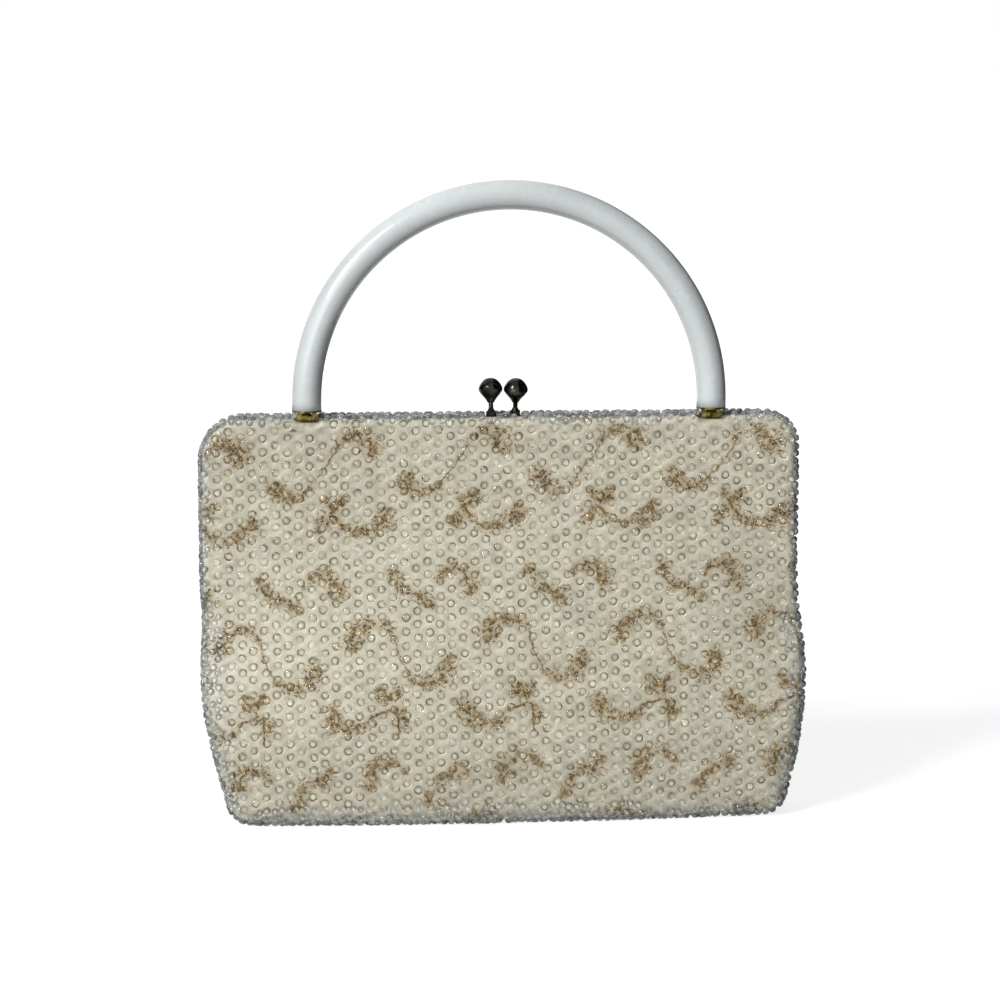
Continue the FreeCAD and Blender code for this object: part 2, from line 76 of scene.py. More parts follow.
# Pouch form, measured over the beads, in metres
BAG_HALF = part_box("rear_panel_upper")[1].x
BAG_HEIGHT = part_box("rear_panel_upper")[1].z
HINGE_HEIGHT = frame["joints"][0]["pos_m"][2]
BELLY_HALF = 0.1165
BASE_HALF = 0.107
BASE_LEVEL = 0.003
WIDEST_LEVEL = 0.060
DEEPEST_LEVEL = 0.035
BAND_BOTTOM = 0.145
TOP_SIDE = 0.0103
TOP_MIDDLE = 0.0105
BELLY_SIDE = 0.020
BELLY_MIDDLE = 0.0275
BASE_SIDE = 0.0185
BASE_MIDDLE = 0.0225

# Satin and its edges
BEAD_RISE = 0.0017  # how far the beads stand out from the satin
EDGE_HIGH = 0.0026  # rounding where a panel turns back, at the frame
EDGE_LOW = 0.007  # and at the foot
EDGE_CHANGE = (0.03, 0.06)  # from which height and over which span it narrows
TOP_CORNERS = (0.0132, 0.0077)  # radius of a panel's corners, left and right
BOTTOM_CORNER = 0.0015
CORNER_STEPS = 8
EDGE_STEPS = 4
RETURN_STEPS = 3  # from the rounded edge on to the seam
STEP = 0.0015
COLUMNS = 146
SIDE_COLUMNS = 24  # of the gussets and the base
SATIN = 0.0006
SEAM_RETURN = 0.001  # from the rounded edge to the seam with the gusset
FRAME_SEAM = -0.002  # where the cloth ends at the frame
SAG = 0.0007  # how unevenly the satin of a panel hangs
SAG_NOISE = (28, 34, 3.1)  # its scale across and up, and its layer in the noise
LEAN = 0.0015  # how far the pouch hangs to the right at its widest
BASE_LEAN = 0.0025  # and at its foot
LEAN_CHANGE = (0.015, 0.035)  # from which height and over which span the one becomes the other
LEAN_FADE = (0.065, 0.033)  # the same towards the upright frame
FOLD_LEVEL = 0.035  # of a short crease in from the left edge
FOLD_REACH = 0.010
FOLD_WIDTH = 0.0018
FOLD_DEPTH = 0.0018
TAPER = 0.030  # height over which the gusset narrows below the hinge
PINCH = 0.0025  # how far the gusset draws in
PINCH_POWER = 0.7
WRINKLE = 0.0004  # unevenness of the gusset
WRINKLE_NOISE = 60
NOTCHES = [sum(corner.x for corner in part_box(side + "_pivot_pin")) / 2 for side in ("left", "right")]
NOTCH_HALF = 0.0042
NOTCH_SLOPE = 0.001
NOTCH_DROP = 0.0012
NOTCH_RISE = (0.129, 0.020)  # from which height and over which span it drops
BARE_HALF = 0.0064  # satin left bare where the end of the handle swings
BARE_DEPTH = 0.0062
STEMS = [sum(corner.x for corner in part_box(side + "_clasp_arm")) / 2 for side in ("front", "rear")]
STEM_ROOM = 0.0027
X_AXIS = Vector((1, 0, 0))
Y_AXIS = Vector((0, 1, 0))
Z_AXIS = Vector((0, 0, 1))

# Beads
BEAD_SCATTER = 0.0004  # how far beads stray from their lattice
BEAD_SIZES = (0.93, 1.07)  # the smallest and the largest, as shares
BEAD_TILT = 0.1
BEAD_SPIN = 0.4  # deviation of a bead's turn, in radians
FACE_BEAD = (0.00175, 0.0007, 0.65)  # radius, half height, and lift over the satin as a share of that
EDGE_BEAD = (0.00145, 0.00125, 0.38)
BEAD_RINGS = (9, 6)  # faces round a bead and from pole to pole
BEAD_DIMPLE = 0.5  # height of the bead's hole, as a share of its height
BEAD_COLUMN = 0.0044
BEAD_PITCH = 0.0052
LOWEST_BEAD = 0.003
GRAZING = -0.25  # how squarely a line has to meet a cloth to count
EDGE_BEAD_SPACING = 0.0025
STREWN = 4  # tries for an edge bead on each face of a cloth
SIDE_BAND = 0.0056  # width of the edge beads along the sides, at the least
EDGE_REACH = 0.0095  # and the furthest in that they lie anywhere
TURNED_AWAY = -0.98  # how squarely a face bead has to look at the viewer

# Scrolls of gold thread
REPEAT = 0.0525
REPEATS = range(-2, 4)
REAR_SHIFT = 21  # of the pattern on the rear, in millimetres
THREAD_RINGS = (4, 2)
THREAD_WIDTH = 0.00038
THREAD_HEIGHT = 0.00026
THREAD_RISE = (0.00005, 0.00022)  # lowest and highest lie over the satin
THREAD_LENGTH = (0.7, 1.5)  # in millimetres
THREAD_SPREAD = (0.38, 0.85)  # deviation and limit across a feather, as shares of its width
THREAD_SLANT = (5, 75)  # least and most lean out from a feather, in degrees
THREAD_STRAY = 0.3  # deviation of that lean, in radians
THREAD_TILT = 0.05  # most that a thread's aim leaves the face of the bag
FEATHER_REACH = 0.02  # share of a feather's spine to each side over which its direction is taken
STEM_REACH = 0.03  # and of a stem
STEM_THREADS = 22
STEM_STRAY = (0.25, 0.12)  # deviation of a stem's threads, in millimetres and radians
THREAD_STEP = 0.36  # along a feather, in millimetres
THREAD_DENSITY = 1.2  # threads at each step for a millimetre of width
THREAD_GAPS = 650  # scale of the noise that wears gaps in a scroll
THREAD_LOSS = -0.06  # noise under which no thread is left
TINT_REACH = 0.0018
TINT_THREADS = 15  # threads within reach that tint the satin in full
TINT = 0.6  # share of brown in a full tint

# Lining
LINING_INSET = 0.0033
LINING_FLOOR = 0.00545
LINING = 0.0004
LINING_TOP = 0.1465
LINING_TUCK_HALF = 0.1042
LINING_TUCK_DEPTH = 0.0061
RIVET_CLEAR_HALF = 0.1002
LINING_GRID = (120, 70)  # columns and rows
LINING_EASE = 0.012  # height over which its width changes
LINING_SLACK = 0.0003
LINING_FOLD = 0.0006
LINING_FLAT = 6  # power by which its folds fade towards the sides
LINING_NOISE = (55, 9, 1.7)
LINING_SMOOTH = (0.004, 0.02)  # how close to the top the folds end, and over which span
CREASE_ABOVE = 0.008  # reach of the crease over the hinge
CREASE_BELOW = 0.009  # and under it
SIDE_LINING_GRID = (20, 40)
SIDE_LINING_DROP = 0.0083  # from the hinge down to its top
SIDE_LINING_DRAWN = (0.0002, 0.0022)  # how far it draws in, and how much more in the middle
SIDE_LINING_WRINKLE = 0.0003
SIDE_LINING_NOISE = (3, 40, 5.0)
BASE_LINING_GRID = (80, 20)
BASE_LINING_SINK = 0.0002  # how far it lies under the top of its solid
BASE_LINING_WAVE = 0.00015
BASE_LINING_NOISE = (60, 2, 9.0)
POCKET_GRID = (60, 30)
POCKET_GAP = (0.0011, 0.0012)  # from the lining, and how much more at its mouth


def eased(low, high, share):
    share = min(max(share, 0.0), 1.0)
    return low + (high - low) * (1 - math.cos(math.pi * share)) / 2


def eased_up(low, high, z, change):
    """A value that changes from a height on, over a span."""
    return eased(low, high, (z - change[0]) / change[1])


def rounded(low, high, share):
    return low + (high - low) * math.sin(math.pi / 2 * min(max(share, 0.0), 1.0))


def swelled(z, base, belly, belly_level, top, top_level):
    if z < belly_level:
        return rounded(base, belly, (z - BASE_LEVEL) / (belly_level - BASE_LEVEL))
    return eased(belly, top, (z - belly_level) / (top_level - belly_level))


def form(z, inset):
    """Half width, half depth at the side and half depth in the middle at a height, set in from the beads."""
    half = swelled(z, BASE_HALF, BELLY_HALF, WIDEST_LEVEL, BAG_HALF, HINGE_HEIGHT)
    side = swelled(z, BASE_SIDE, BELLY_SIDE, DEEPEST_LEVEL, TOP_SIDE, HINGE_HEIGHT)
    middle = swelled(z, BASE_MIDDLE, BELLY_MIDDLE, DEEPEST_LEVEL, TOP_MIDDLE, BAND_BOTTOM)
    return half - inset, side - inset, middle - inset


def edge_at(z):
    return eased_up(EDGE_LOW, EDGE_HIGH, z, EDGE_CHANGE)


def face_rows():
    """Rows of a panel's face from the bottom up: height, and for its left and right, how far the corner draws
    it in and how far its edge has turned."""
    low = BEAD_RISE + EDGE_LOW + BOTTOM_CORNER
    top = BAG_HEIGHT - BEAD_RISE - EDGE_HIGH
    largest = max(TOP_CORNERS)
    high = top - largest
    rows = []
    for i in range(CORNER_STEPS):
        turn = math.pi / 2 * (i / CORNER_STEPS - 1)
        drawn_in = BOTTOM_CORNER * (1 - math.cos(turn))
        rows.append((low + BOTTOM_CORNER * math.sin(turn), (drawn_in, drawn_in), (turn, turn)))
    count = round((high - low) / STEP)
    heights = [low + (high - low) * i / count for i in range(count)]
    heights += [high + largest * math.sin(math.pi / 2 * i / CORNER_STEPS) for i in range(CORNER_STEPS + 1)]
    for z in heights:
        turns = [math.asin(min(max(1 - (top - z) / radius, 0.0), 1.0)) for radius in TOP_CORNERS]
        drawn_in = [radius * (1 - math.cos(turn)) for radius, turn in zip(TOP_CORNERS, turns)]
        rows.append((z, tuple(drawn_in), tuple(turns)))
    return rows


ROWS = face_rows()


def lean(z):
    """How far the pouch hangs to the right at a height, below its frame."""
    return eased_up(eased_up(BASE_LEAN, LEAN, z, LEAN_CHANGE), 0, z, LEAN_FADE)


def cloth_noise(across, up, kind):
    return noise.noise(Vector((across * kind[0], up * kind[1], kind[2])))


def face_point(share, row):
    """A point on the front panel's satin, share of the way from the middle to its edge."""
    z, drawn_in, _ = row
    half, side, middle = form(z, BEAD_RISE)
    x = share * (half - edge_at(z) - drawn_in[share > 0])
    sag = SAG * cloth_noise(x, z, SAG_NOISE) * (1 - share * share)
    fold = FOLD_DEPTH * eased(1, 0, (half + x) / FOLD_REACH)
    fold *= math.exp(-(((z - FOLD_LEVEL) / FOLD_WIDTH) ** 2))
    return Vector((x + lean(z) + fold, -side - (middle - side) * (1 - (x / half) ** 2) + sag + fold, z))


def seam_depth(foot):
    """How far back the cloth runs from an edge point of the face."""
    free = foot.y + edge_at(foot.z) + SEAM_RETURN
    return eased(free, FRAME_SEAM, (foot.z - HINGE_HEIGHT + TAPER) / TAPER)


def edge_point(row, sign):
    """A point on the outline of the satin beside a row, and the depth of the seam there."""
    foot = face_point(sign, row)
    turn = row[2][sign > 0]
    out = Vector((sign * math.cos(turn), 0, math.sin(turn))) * edge_at(foot.z)
    return Vector((foot.x + out.x, 0, foot.z + out.z)), -seam_depth(foot)


def new_mesh(name, bm):
    mesh = bpy.data.meshes.new(name)
    bm.to_mesh(mesh)
    bm.free()
    return mesh


def new_object(name, data):
    made = bpy.data.objects.new(name, data)
    bpy.context.scene.collection.objects.link(made)
    return made


def new_piece(name, bm, material):
    for f in bm.faces:
        f.smooth = True
    piece = new_object(name, new_mesh(name, bm))
    piece.data.materials.append(material)
    return piece


def thicken(piece, amount):
    """Gives a cloth its thickness, on its inner side."""
    solid = piece.modifiers.new("thickness", "SOLIDIFY")
    solid.thickness = amount
    solid.offset = -1


def grid(columns, rows, layers=()):
    """A flat grid, and for each of its points the share across (-1 to 1) and the row number."""
    bm = bmesh.new()
    for layer in layers:
        bm.verts.layers.float_vector.new(layer)
    bmesh.ops.create_grid(bm, x_segments=columns, y_segments=rows - 1, size=1)
    places = [(v, v.co.x, round((v.co.y + 1) / 2 * (rows - 1))) for v in bm.verts]
    return bm, places


def turn_to_rear(bm):
    bmesh.ops.scale(bm, vec=(1, -1, 1), verts=bm.verts)
    bmesh.ops.reverse_faces(bm, faces=bm.faces)


def face_outwards(bm, direction):
    """A cloth with its faces turned over if most of it looks away from a direction."""
    bm.normal_update()
    if sum((f.normal * f.calc_area() for f in bm.faces), Vector()).dot(direction) < 0:
        bmesh.ops.reverse_faces(bm, faces=bm.faces)
    return bm


def from_notch(x):
    return min(abs(x - middle) for middle in NOTCHES)


def panel_mesh(notched):
    """The satin of the front panel: its face, its rounded edge and its return to the seam or the frame."""
    bm, places = grid(COLUMNS, len(ROWS), ("foot", "out"))
    foot_layer = bm.verts.layers.float_vector["foot"]
    out_layer = bm.verts.layers.float_vector["out"]
    last = len(ROWS) - 1
    for v, share, number in places:
        turn = ROWS[number][2][share > 0]
        v.co = face_point(share, ROWS[number])
        v[foot_layer] = v.co
        if number in (0, last):
            v[out_layer] = (0, 0, 1 if number else -1)
        else:
            v[out_layer] = (math.copysign(math.cos(turn), share), 0, math.sin(turn))
    rim = [e for e in bm.edges if e.is_boundary]
    for i in range(1, EDGE_STEPS + RETURN_STEPS + 1):
        made = bmesh.ops.extrude_edge_only(bm, edges=rim)["geom"]
        rim = [e for e in only(bmesh.types.BMEdge, made) if e.is_boundary]
        turn = math.pi / 2 * min(i / EDGE_STEPS, 1)
        run = max(i - EDGE_STEPS, 0) / RETURN_STEPS
        for v in {v for e in rim for v in e.verts}:
            foot = v[foot_layer]
            edge = edge_at(foot.z)
            v.co = foot + v[out_layer] * edge * math.sin(turn)
            v.co.y += edge * (1 - math.cos(turn))
            v.co.y += run * (seam_depth(foot) - v.co.y)
    if notched:
        for v in bm.verts:
            beside = from_notch(v.co.x) - NOTCH_HALF
            drop = NOTCH_DROP * eased(1, 0, beside / NOTCH_SLOPE)
            v.co.z -= drop * eased_up(0, 1, v.co.z, NOTCH_RISE)
    return face_outwards(bm, -Y_AXIS)


def gusset_mesh(sign):
    """A side strip from the bottom corner to the hinge."""
    rows = [r for r in ROWS if r[2][0] >= -math.pi / 4 and r[0] < HINGE_HEIGHT]
    bm, places = grid(SIDE_COLUMNS, len(rows))
    for v, share, number in places:
        point, reach = edge_point(rows[number], sign)
        rise = (point.z - BEAD_RISE) / (HINGE_HEIGHT - BEAD_RISE)
        drawn = PINCH * (1 - share * share) * math.sin(math.pi * min(max(rise, 0), 1)) ** PINCH_POWER
        drawn += WRINKLE * noise.noise(point * WRINKLE_NOISE + Vector((0, share, 0)))
        v.co = (point.x - sign * drawn, share * reach, point.z)
    return face_outwards(bm, sign * X_AXIS)


def base_mesh():
    """The strip under the bag, from corner to corner."""
    corner = [r for r in ROWS if r[2][0] <= -math.pi / 4]
    line = [edge_point(r, -1) for r in reversed(corner)]
    for i in range(1, COLUMNS):
        foot = face_point(2 * i / COLUMNS - 1, ROWS[0])
        line.append((Vector((foot.x, 0, foot.z - EDGE_LOW)), -seam_depth(foot)))
    line += [edge_point(r, 1) for r in corner]
    bm, places = grid(SIDE_COLUMNS, len(line))
    for v, share, number in places:
        point, reach = line[number]
        v.co = (point.x, share * reach, point.z)
    return face_outwards(bm, -Z_AXIS)


def lining_edge(z):
    """Rounding of the lining, beside the rounded edge of the panel."""
    return max(edge_at(z) - LINING_INSET + BEAD_RISE, 0.0)


def lining_mesh():
    """The lining of the front panel, from the floor of the bag to its tuck in the frame."""
    columns, count = LINING_GRID
    bm, places = grid(columns, count + 1)
    crease_top = HINGE_HEIGHT + CREASE_ABOVE
    crease_low = HINGE_HEIGHT - CREASE_BELOW
    for v, share, number in places:
        z = LINING_FLOOR + (LINING_TOP - LINING_FLOOR) * number / count
        full, side, middle = form(z, LINING_INSET)
        free = full - LINING - LINING_SLACK
        half = eased(free, RIVET_CLEAR_HALF, (z - crease_low + LINING_EASE) / LINING_EASE)
        half = eased(half, LINING_TUCK_HALF, (z - crease_top) / LINING_EASE)
        x = share * half
        edge = lining_edge(z)
        over = max(abs(x) - half + edge, 0.0)
        y = -side - (middle - side) * (1 - (x / full) ** 2) + edge
        y -= math.sqrt(max(edge * edge - over * over, 0.0))
        bulge = form(z, 0)[2] - TOP_SIDE
        upper = -LINING_TUCK_DEPTH - bulge * (1 - share * share)
        y = eased(y, upper, (z - crease_low) / (crease_top - crease_low))
        fold = LINING_FOLD * (1 + cloth_noise(x, z, LINING_NOISE)) * (1 - share ** LINING_FLAT)
        fade = eased(0, 1, (LINING_TOP - LINING_SMOOTH[0] - z) / LINING_SMOOTH[1])
        v.co = (x + lean(z), y + fold * fade, z)
    return face_outwards(bm, Y_AXIS)


def gusset_lining_mesh(sign):
    columns, count = SIDE_LINING_GRID
    top = HINGE_HEIGHT - SIDE_LINING_DROP
    bm, places = grid(columns, count + 1)
    for v, share, number in places:
        z = LINING_FLOOR + (top - LINING_FLOOR) * number / count
        half, side, _ = form(z, LINING_INSET)
        drawn = SIDE_LINING_DRAWN[0] + SIDE_LINING_DRAWN[1] * (1 - share * share)
        drawn += SIDE_LINING_WRINKLE * cloth_noise(share, z, SIDE_LINING_NOISE)
        v.co = (sign * (half - drawn) + lean(z), share * (side - lining_edge(z)), z)
    return face_outwards(bm, -sign * X_AXIS)


def base_lining_mesh():
    _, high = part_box("base_lining")
    columns, count = BASE_LINING_GRID
    bm, places = grid(columns, count + 1)
    for v, share, number in places:
        across = 2 * number / count - 1
        x = share * high.x
        depth = high.y - (BASE_MIDDLE - BASE_SIDE) * share * share
        wave = BASE_LINING_WAVE * cloth_noise(x, across, BASE_LINING_NOISE)
        v.co = (x + BASE_LEAN, across * depth, high.z - BASE_LINING_SINK + wave)
    return face_outwards(bm, Z_AXIS)


def pocket_mesh():
    """A slip pocket on the rear lining, which gapes a little at its mouth."""
    low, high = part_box("slip_pocket")
    columns, count = POCKET_GRID
    bm, places = grid(columns, count + 1)
    for v, share, number in places:
        up = number / count
        z = low.z + (high.z - low.z) * up
        half, side, middle = form(z, LINING_INSET)
        x = share * high.x
        y = side + (middle - side) * (1 - (x / half) ** 2)
        gape = POCKET_GAP[0] + POCKET_GAP[1] * (1 - share * share) * up ** 2
        v.co = (x, y - gape, z)
    return face_outwards(bm, -Y_AXIS)


# Beads on the cloth
def hit(tree, start, direction):
    """Where a line meets a cloth from outside, and the way the cloth looks there."""
    point, normal, _, _ = tree.ray_cast(start, direction)
    if point is None or normal.dot(direction) > GRAZING:
        return None
    return point, normal


def lattice(first, second, low, high):
    """A staggered lattice of beads in a plane of two axes, between two corners."""
    columns = int((high[0] - low[0]) / BEAD_COLUMN) + 1
    rows = int((high[1] - low[1]) / BEAD_PITCH) + 2
    for i in range(columns):
        for j in range(rows):
            a = low[0] + BEAD_COLUMN * i + random.uniform(-BEAD_SCATTER, BEAD_SCATTER)
            b = low[1] + BEAD_PITCH * (j - 0.5 * (i % 2)) + random.uniform(-BEAD_SCATTER, BEAD_SCATTER)
            yield first * a + second * b


def strewn(bm, wanted):
    """Points strewn over the faces of a cloth that have only wanted corners. Faces and corners are sorted by
    place, because extruding leaves them in an order that changes from run to run."""
    chosen = [f.verts for f in bm.faces if all(wanted(v) for v in f.verts)]
    chosen = [sorted(corners, key=lambda v: tuple(v.co)) for corners in chosen]
    chosen.sort(key=lambda corners: [tuple(v.co) for v in corners])
    for corners in chosen:
        for _ in range(STREWN):
            weights = [random.random() for _ in corners]
            point = sum((v.co * w for v, w in zip(corners, weights)), Vector()) / sum(weights)
            normal = sum((v.normal * w for v, w in zip(corners, weights)), Vector())
            yield point, normal.normalized()


def cell(point):
    return tuple(math.floor(c / EDGE_BEAD_SPACING) for c in point)


def near(cells, point):
    """Beads in the cells round a point."""
    middle = cell(point)
    for step in itertools.product((-1, 0, 1), repeat=3):
        yield from cells.get(tuple(m + s for m, s in zip(middle, step)), ())


def bead_places(bm, view, wanted):
    """Places for beads on a cloth: a lattice seen along a view, and more where no bead of it is near."""
    direction, first, second, low, high = view
    tree = BVHTree.FromBMesh(bm)
    met = (hit(tree, spot - direction, direction) for spot in lattice(first, second, low, high))
    found = [place for place in met if place]
    cells = {}
    for place in found:
        cells.setdefault(cell(place[0]), []).append(place)
    loose = list(strewn(bm, wanted))
    random.shuffle(loose)
    rim = []
    for place in loose:
        point = place[0]
        if all((point - other).length > EDGE_BEAD_SPACING for other, _ in near(cells, point)):
            rim.append(place)
            cells.setdefault(cell(point), []).append(place)
    return found, rim


def facing(normal, tilt):
    """A turn that sets the Z axis along a normal, with a little tilt and spin."""
    wander = Vector((random.gauss(0, tilt), random.gauss(0, tilt), random.gauss(0, tilt)))
    spin = Matrix.Rotation(random.gauss(0, BEAD_SPIN), 4, "Z")
    return (normal + wander).to_track_quat("Z", "Y").to_matrix().to_4x4() @ spin


def copies(name, template, places, material):
    """One piece from many copies of a small mesh."""
    bm = bmesh.new()
    for place in places:
        copy = template.copy()
        copy.transform(place)
        bm.from_mesh(copy)
        bpy.data.meshes.remove(copy)
    return new_piece(name, bm, material)


def bead_template():
    """A round bead with a dimple, and for each of its points the place on the bead."""
    bm = bmesh.new()
    spot = bm.verts.layers.float_vector.new("bead")
    bmesh.ops.create_uvsphere(bm, u_segments=BEAD_RINGS[0], v_segments=BEAD_RINGS[1], radius=1)
    max(bm.verts, key=lambda v: v.co.z).co.z = BEAD_DIMPLE
    for v in bm.verts:
        v[spot] = v.co
    return new_mesh("bead", bm)


def thread_template():
    bm = bmesh.new()
    bmesh.ops.create_uvsphere(bm, u_segments=THREAD_RINGS[0], v_segments=THREAD_RINGS[1], radius=0.5)
    return new_mesh("thread", bm)


def beads(name, places, kind, glass):
    radius, height, lift = kind
    turns = []
    for point, normal in places:
        size = random.uniform(*BEAD_SIZES)
        shape = Matrix.Diagonal((radius * size, radius * size, height * size, 1))
        turn = facing(normal, BEAD_TILT)
        turns.append(Matrix.Translation(point + normal * height * lift) @ turn @ shape)
    piece = copies(name, BEAD, turns, glass)
    piece.visible_shadow = False  # light passes through clear glass
    return piece


# Scrolls, drawn in millimetres on the front of the bag
ARCH_TURN = (168, -32)  # degrees from the thin end to the thick end
ARCH_TALL = 1.53  # height of such an arch with a radius of one
ARCH_MIDDLE = 0.235  # and the height of its middle
ARCH_LENGTH = 1.9  # length of an arch for a millimetre of its two radii together
ARCH_WIDTH = (1.6, 5.2, 0.85)  # at the thin end, the gain towards the thick end, and the power of that gain
ARCH_CLOSE = (5, 1.08)  # how fast the thick end closes, and at which share of the length it would
LEAF_WIDTH = 1.6  # width of a leaf's threads for a millimetre of its own
LEAF_WAVE = (0.12, 0.8, 0.7)  # start and part of the half wave that a leaf's outline follows, and its power
LEAF_LENGTH = 1.15  # length of a leaf for a millimetre from end to end
SCROLL_PULL = ((-1.2, -5), (3.5, 5))  # guide points of the stem between two arches, from their thin ends
PATTERN_SPAN = (77, 57.75)  # millimetres across and down that count as one in the drift of the pattern
PATTERN_LEVEL = 78.2  # height from which the drift is reckoned


def arch(centre, size, mirror_x=1, mirror_z=1):
    """A curved feather from its thin end to its thick end."""
    start, stop = (math.radians(turn) for turn in ARCH_TURN)
    wide = size[0] / 2
    tall = size[1] / ARCH_TALL

    def path(share):
        turn = start + (stop - start) * share
        up = tall * math.sin(turn) - ARCH_MIDDLE * tall
        return centre[0] + mirror_x * wide * math.cos(turn), centre[1] + mirror_z * up

    def thickness(share):
        thin, gain, power = ARCH_WIDTH
        speed, closed = ARCH_CLOSE
        return (thin + gain * share ** power) * min(1, speed * (closed - share))

    return path, thickness, ARCH_LENGTH * (wide + tall)


def curve(points):
    """A smooth line from the first of four points to the last, drawn towards the two between."""
    def path(share):
        left = 1 - share
        weights = (left ** 3, 3 * left * left * share, 3 * left * share * share, share ** 3)
        return tuple(sum(w * p[k] for w, p in zip(weights, points)) for k in (0, 1))

    return path


def leaf(points, width):
    """A feather along a curve, widest in the middle."""
    def thickness(share):
        start, part, power = LEAF_WAVE
        return LEAF_WIDTH * width * math.sin(math.pi * (start + part * share)) ** power

    return curve(points), thickness, math.dist(points[0], points[-1]) * LEAF_LENGTH


WIGGLE = (  # three small lobes along a slanting line: guide points and width of each
    (((-8.6, 6.6), (-5.6, 7.2), (-4.6, 3.5), (-3.7, 0.2)), 2.8),
    (((-4.1, 1), (-2.9, -1.8), (0, -2.6), (2.1, -1.9)), 2.4),
    (((1.4, -3.0), (4.6, -2.3), (7.5, -4.6), (9.2, -8.2)), 3.0),
)
SPRIG = (
    (((0, 0), (1.5, 3), (4, 4.5), (7, 6.5)), 2.4),
    (((0.4, 1.5), (-1, 4), (-1.8, 5), (-2.4, 6.5)), 1.8),
    (((1, 2), (3.5, 2), (5.5, 2.4), (7.4, 2.2)), 1.5),
    (((-0.4, -1), (-1.5, -4), (-3, -6.5), (-5, -8)), 3.0),
)


def leaves(kinds, centre, mirror_x=1, mirror_z=1):
    x, z = centre
    return [leaf([(x + mirror_x * a, z + mirror_z * b) for a, b in points], width) for points, width in kinds]


def motifs(offset):
    """Feathers as (path, thickness, length) and plain stems as paths, for one repeat."""
    feathers = []
    stems = []

    def scroll(x, z, mirror, high, low):
        x += offset
        top = arch((x + mirror * high[0], z + high[1]), high[2], mirror)
        bottom = arch((x + mirror * low[0], z + low[1]), low[2], -mirror, -1)
        feathers.extend((top, bottom))
        ends = top[0](0), bottom[0](0)
        guides = [(end[0] + mirror * a, end[1] + b) for end, (a, b) in zip(ends, SCROLL_PULL)]
        stems.append(curve([ends[0], *guides, ends[1]]))

    def smile(x, z, size, mirror, twig, guides, pull):
        x += offset
        bowl = arch((x, z), size, mirror, -1)
        feathers.extend((bowl, *leaves(SPRIG, (x + twig[0], twig[1]), mirror)))
        tip = bowl[0](0)
        stems.append(curve([*((x + a, b) for a, b in guides), (tip[0] + pull, tip[1] + 1), tip]))

    scroll(-19, 140, 1, (13.6, 7.0, (14.5, 11)), (-10.2, -9.1, (15, 9)))
    smile(-1, 115.5, (19, 9), 1, (-12.5, 119.5), ((-12, 119), (-10.5, 117.5)), -0.5)
    x = offset - 37
    feathers.extend(leaves(WIGGLE, (x + 3.6, 87.4)))
    feathers.append(arch((x + 20.5, 89.4), (13.5, 11), 1))
    scroll(-38, 63, -1, (10.3, 6.5, (17, 11)), (-10.7, -7, (16.5, 10)))
    smile(-5, 40, (18, 9.5), -1, (16.5, 44), ((15.8, 43), (14, 40.5)), 2)
    x = offset - 5
    stems.append(curve([(x + 17.5, 42), (x + 18.3, 39), (x + 17.8, 36), (x + 18, 32)]))
    x = offset - 45
    feathers.append(arch((x, 17.5), (15, 10.5), -1))
    feathers.extend(leaves(WIGGLE, (x + 22, 13.5), 1, -1))
    feathers.append(arch((offset - 10.3, -5), (16, 11), 1))
    return feathers, stems


def drifted(x, z):
    """Where a point of the pattern comes to lie, as the cloth drifts and rises across the bag."""
    across = x / PATTERN_SPAN[0]
    down = (PATTERN_LEVEL - z) / PATTERN_SPAN[1]
    drift = 3.1 + 2.2 * across - 0.1 * down - 0.7 * across ** 2 - 0.5 * across * down - 1.8 * down ** 2
    rise = 5.8 + 1.7 * across + 2.5 * down - 1.4 * across ** 2 + 0.5 * across * down - 2.3 * down ** 2
    return x - drift, z + rise


def along(path, share, step):
    """A point of a path and the way the path runs there."""
    x1, z1 = path(min(share + step, 1.0))
    x0, z0 = path(max(share - step, 0.0))
    return *path(share), math.atan2(z1 - z0, x1 - x0)


def stitches(path, thickness, length):
    """Short threads that lean out from the spine of a feather: middle, direction and length."""
    count = int(length / THREAD_STEP)
    spread, limit = THREAD_SPREAD
    for i in range(count):
        share = (i + random.random()) / count
        x, z, way = along(path, share, FEATHER_REACH)
        wide = thickness(share)
        for _ in range(int(max(1.0, wide * THREAD_DENSITY) + random.random())):
            out = min(max(random.gauss(0, spread), -limit), limit) * wide
            slant = math.copysign(math.radians(random.uniform(*THREAD_SLANT)), out)
            slant += random.gauss(0, THREAD_STRAY)
            middle = x - out * math.sin(way), z + out * math.cos(way)
            yield middle, way + slant, random.uniform(*THREAD_LENGTH)


def stem_stitches(path):
    stray, turn = STEM_STRAY
    for i in range(STEM_THREADS):
        x, z, way = along(path, (i + 0.5) / STEM_THREADS, STEM_REACH)
        way += random.gauss(0, turn)
        yield (x + random.gauss(0, stray), z + random.gauss(0, stray)), way, THREAD_LENGTH[1]


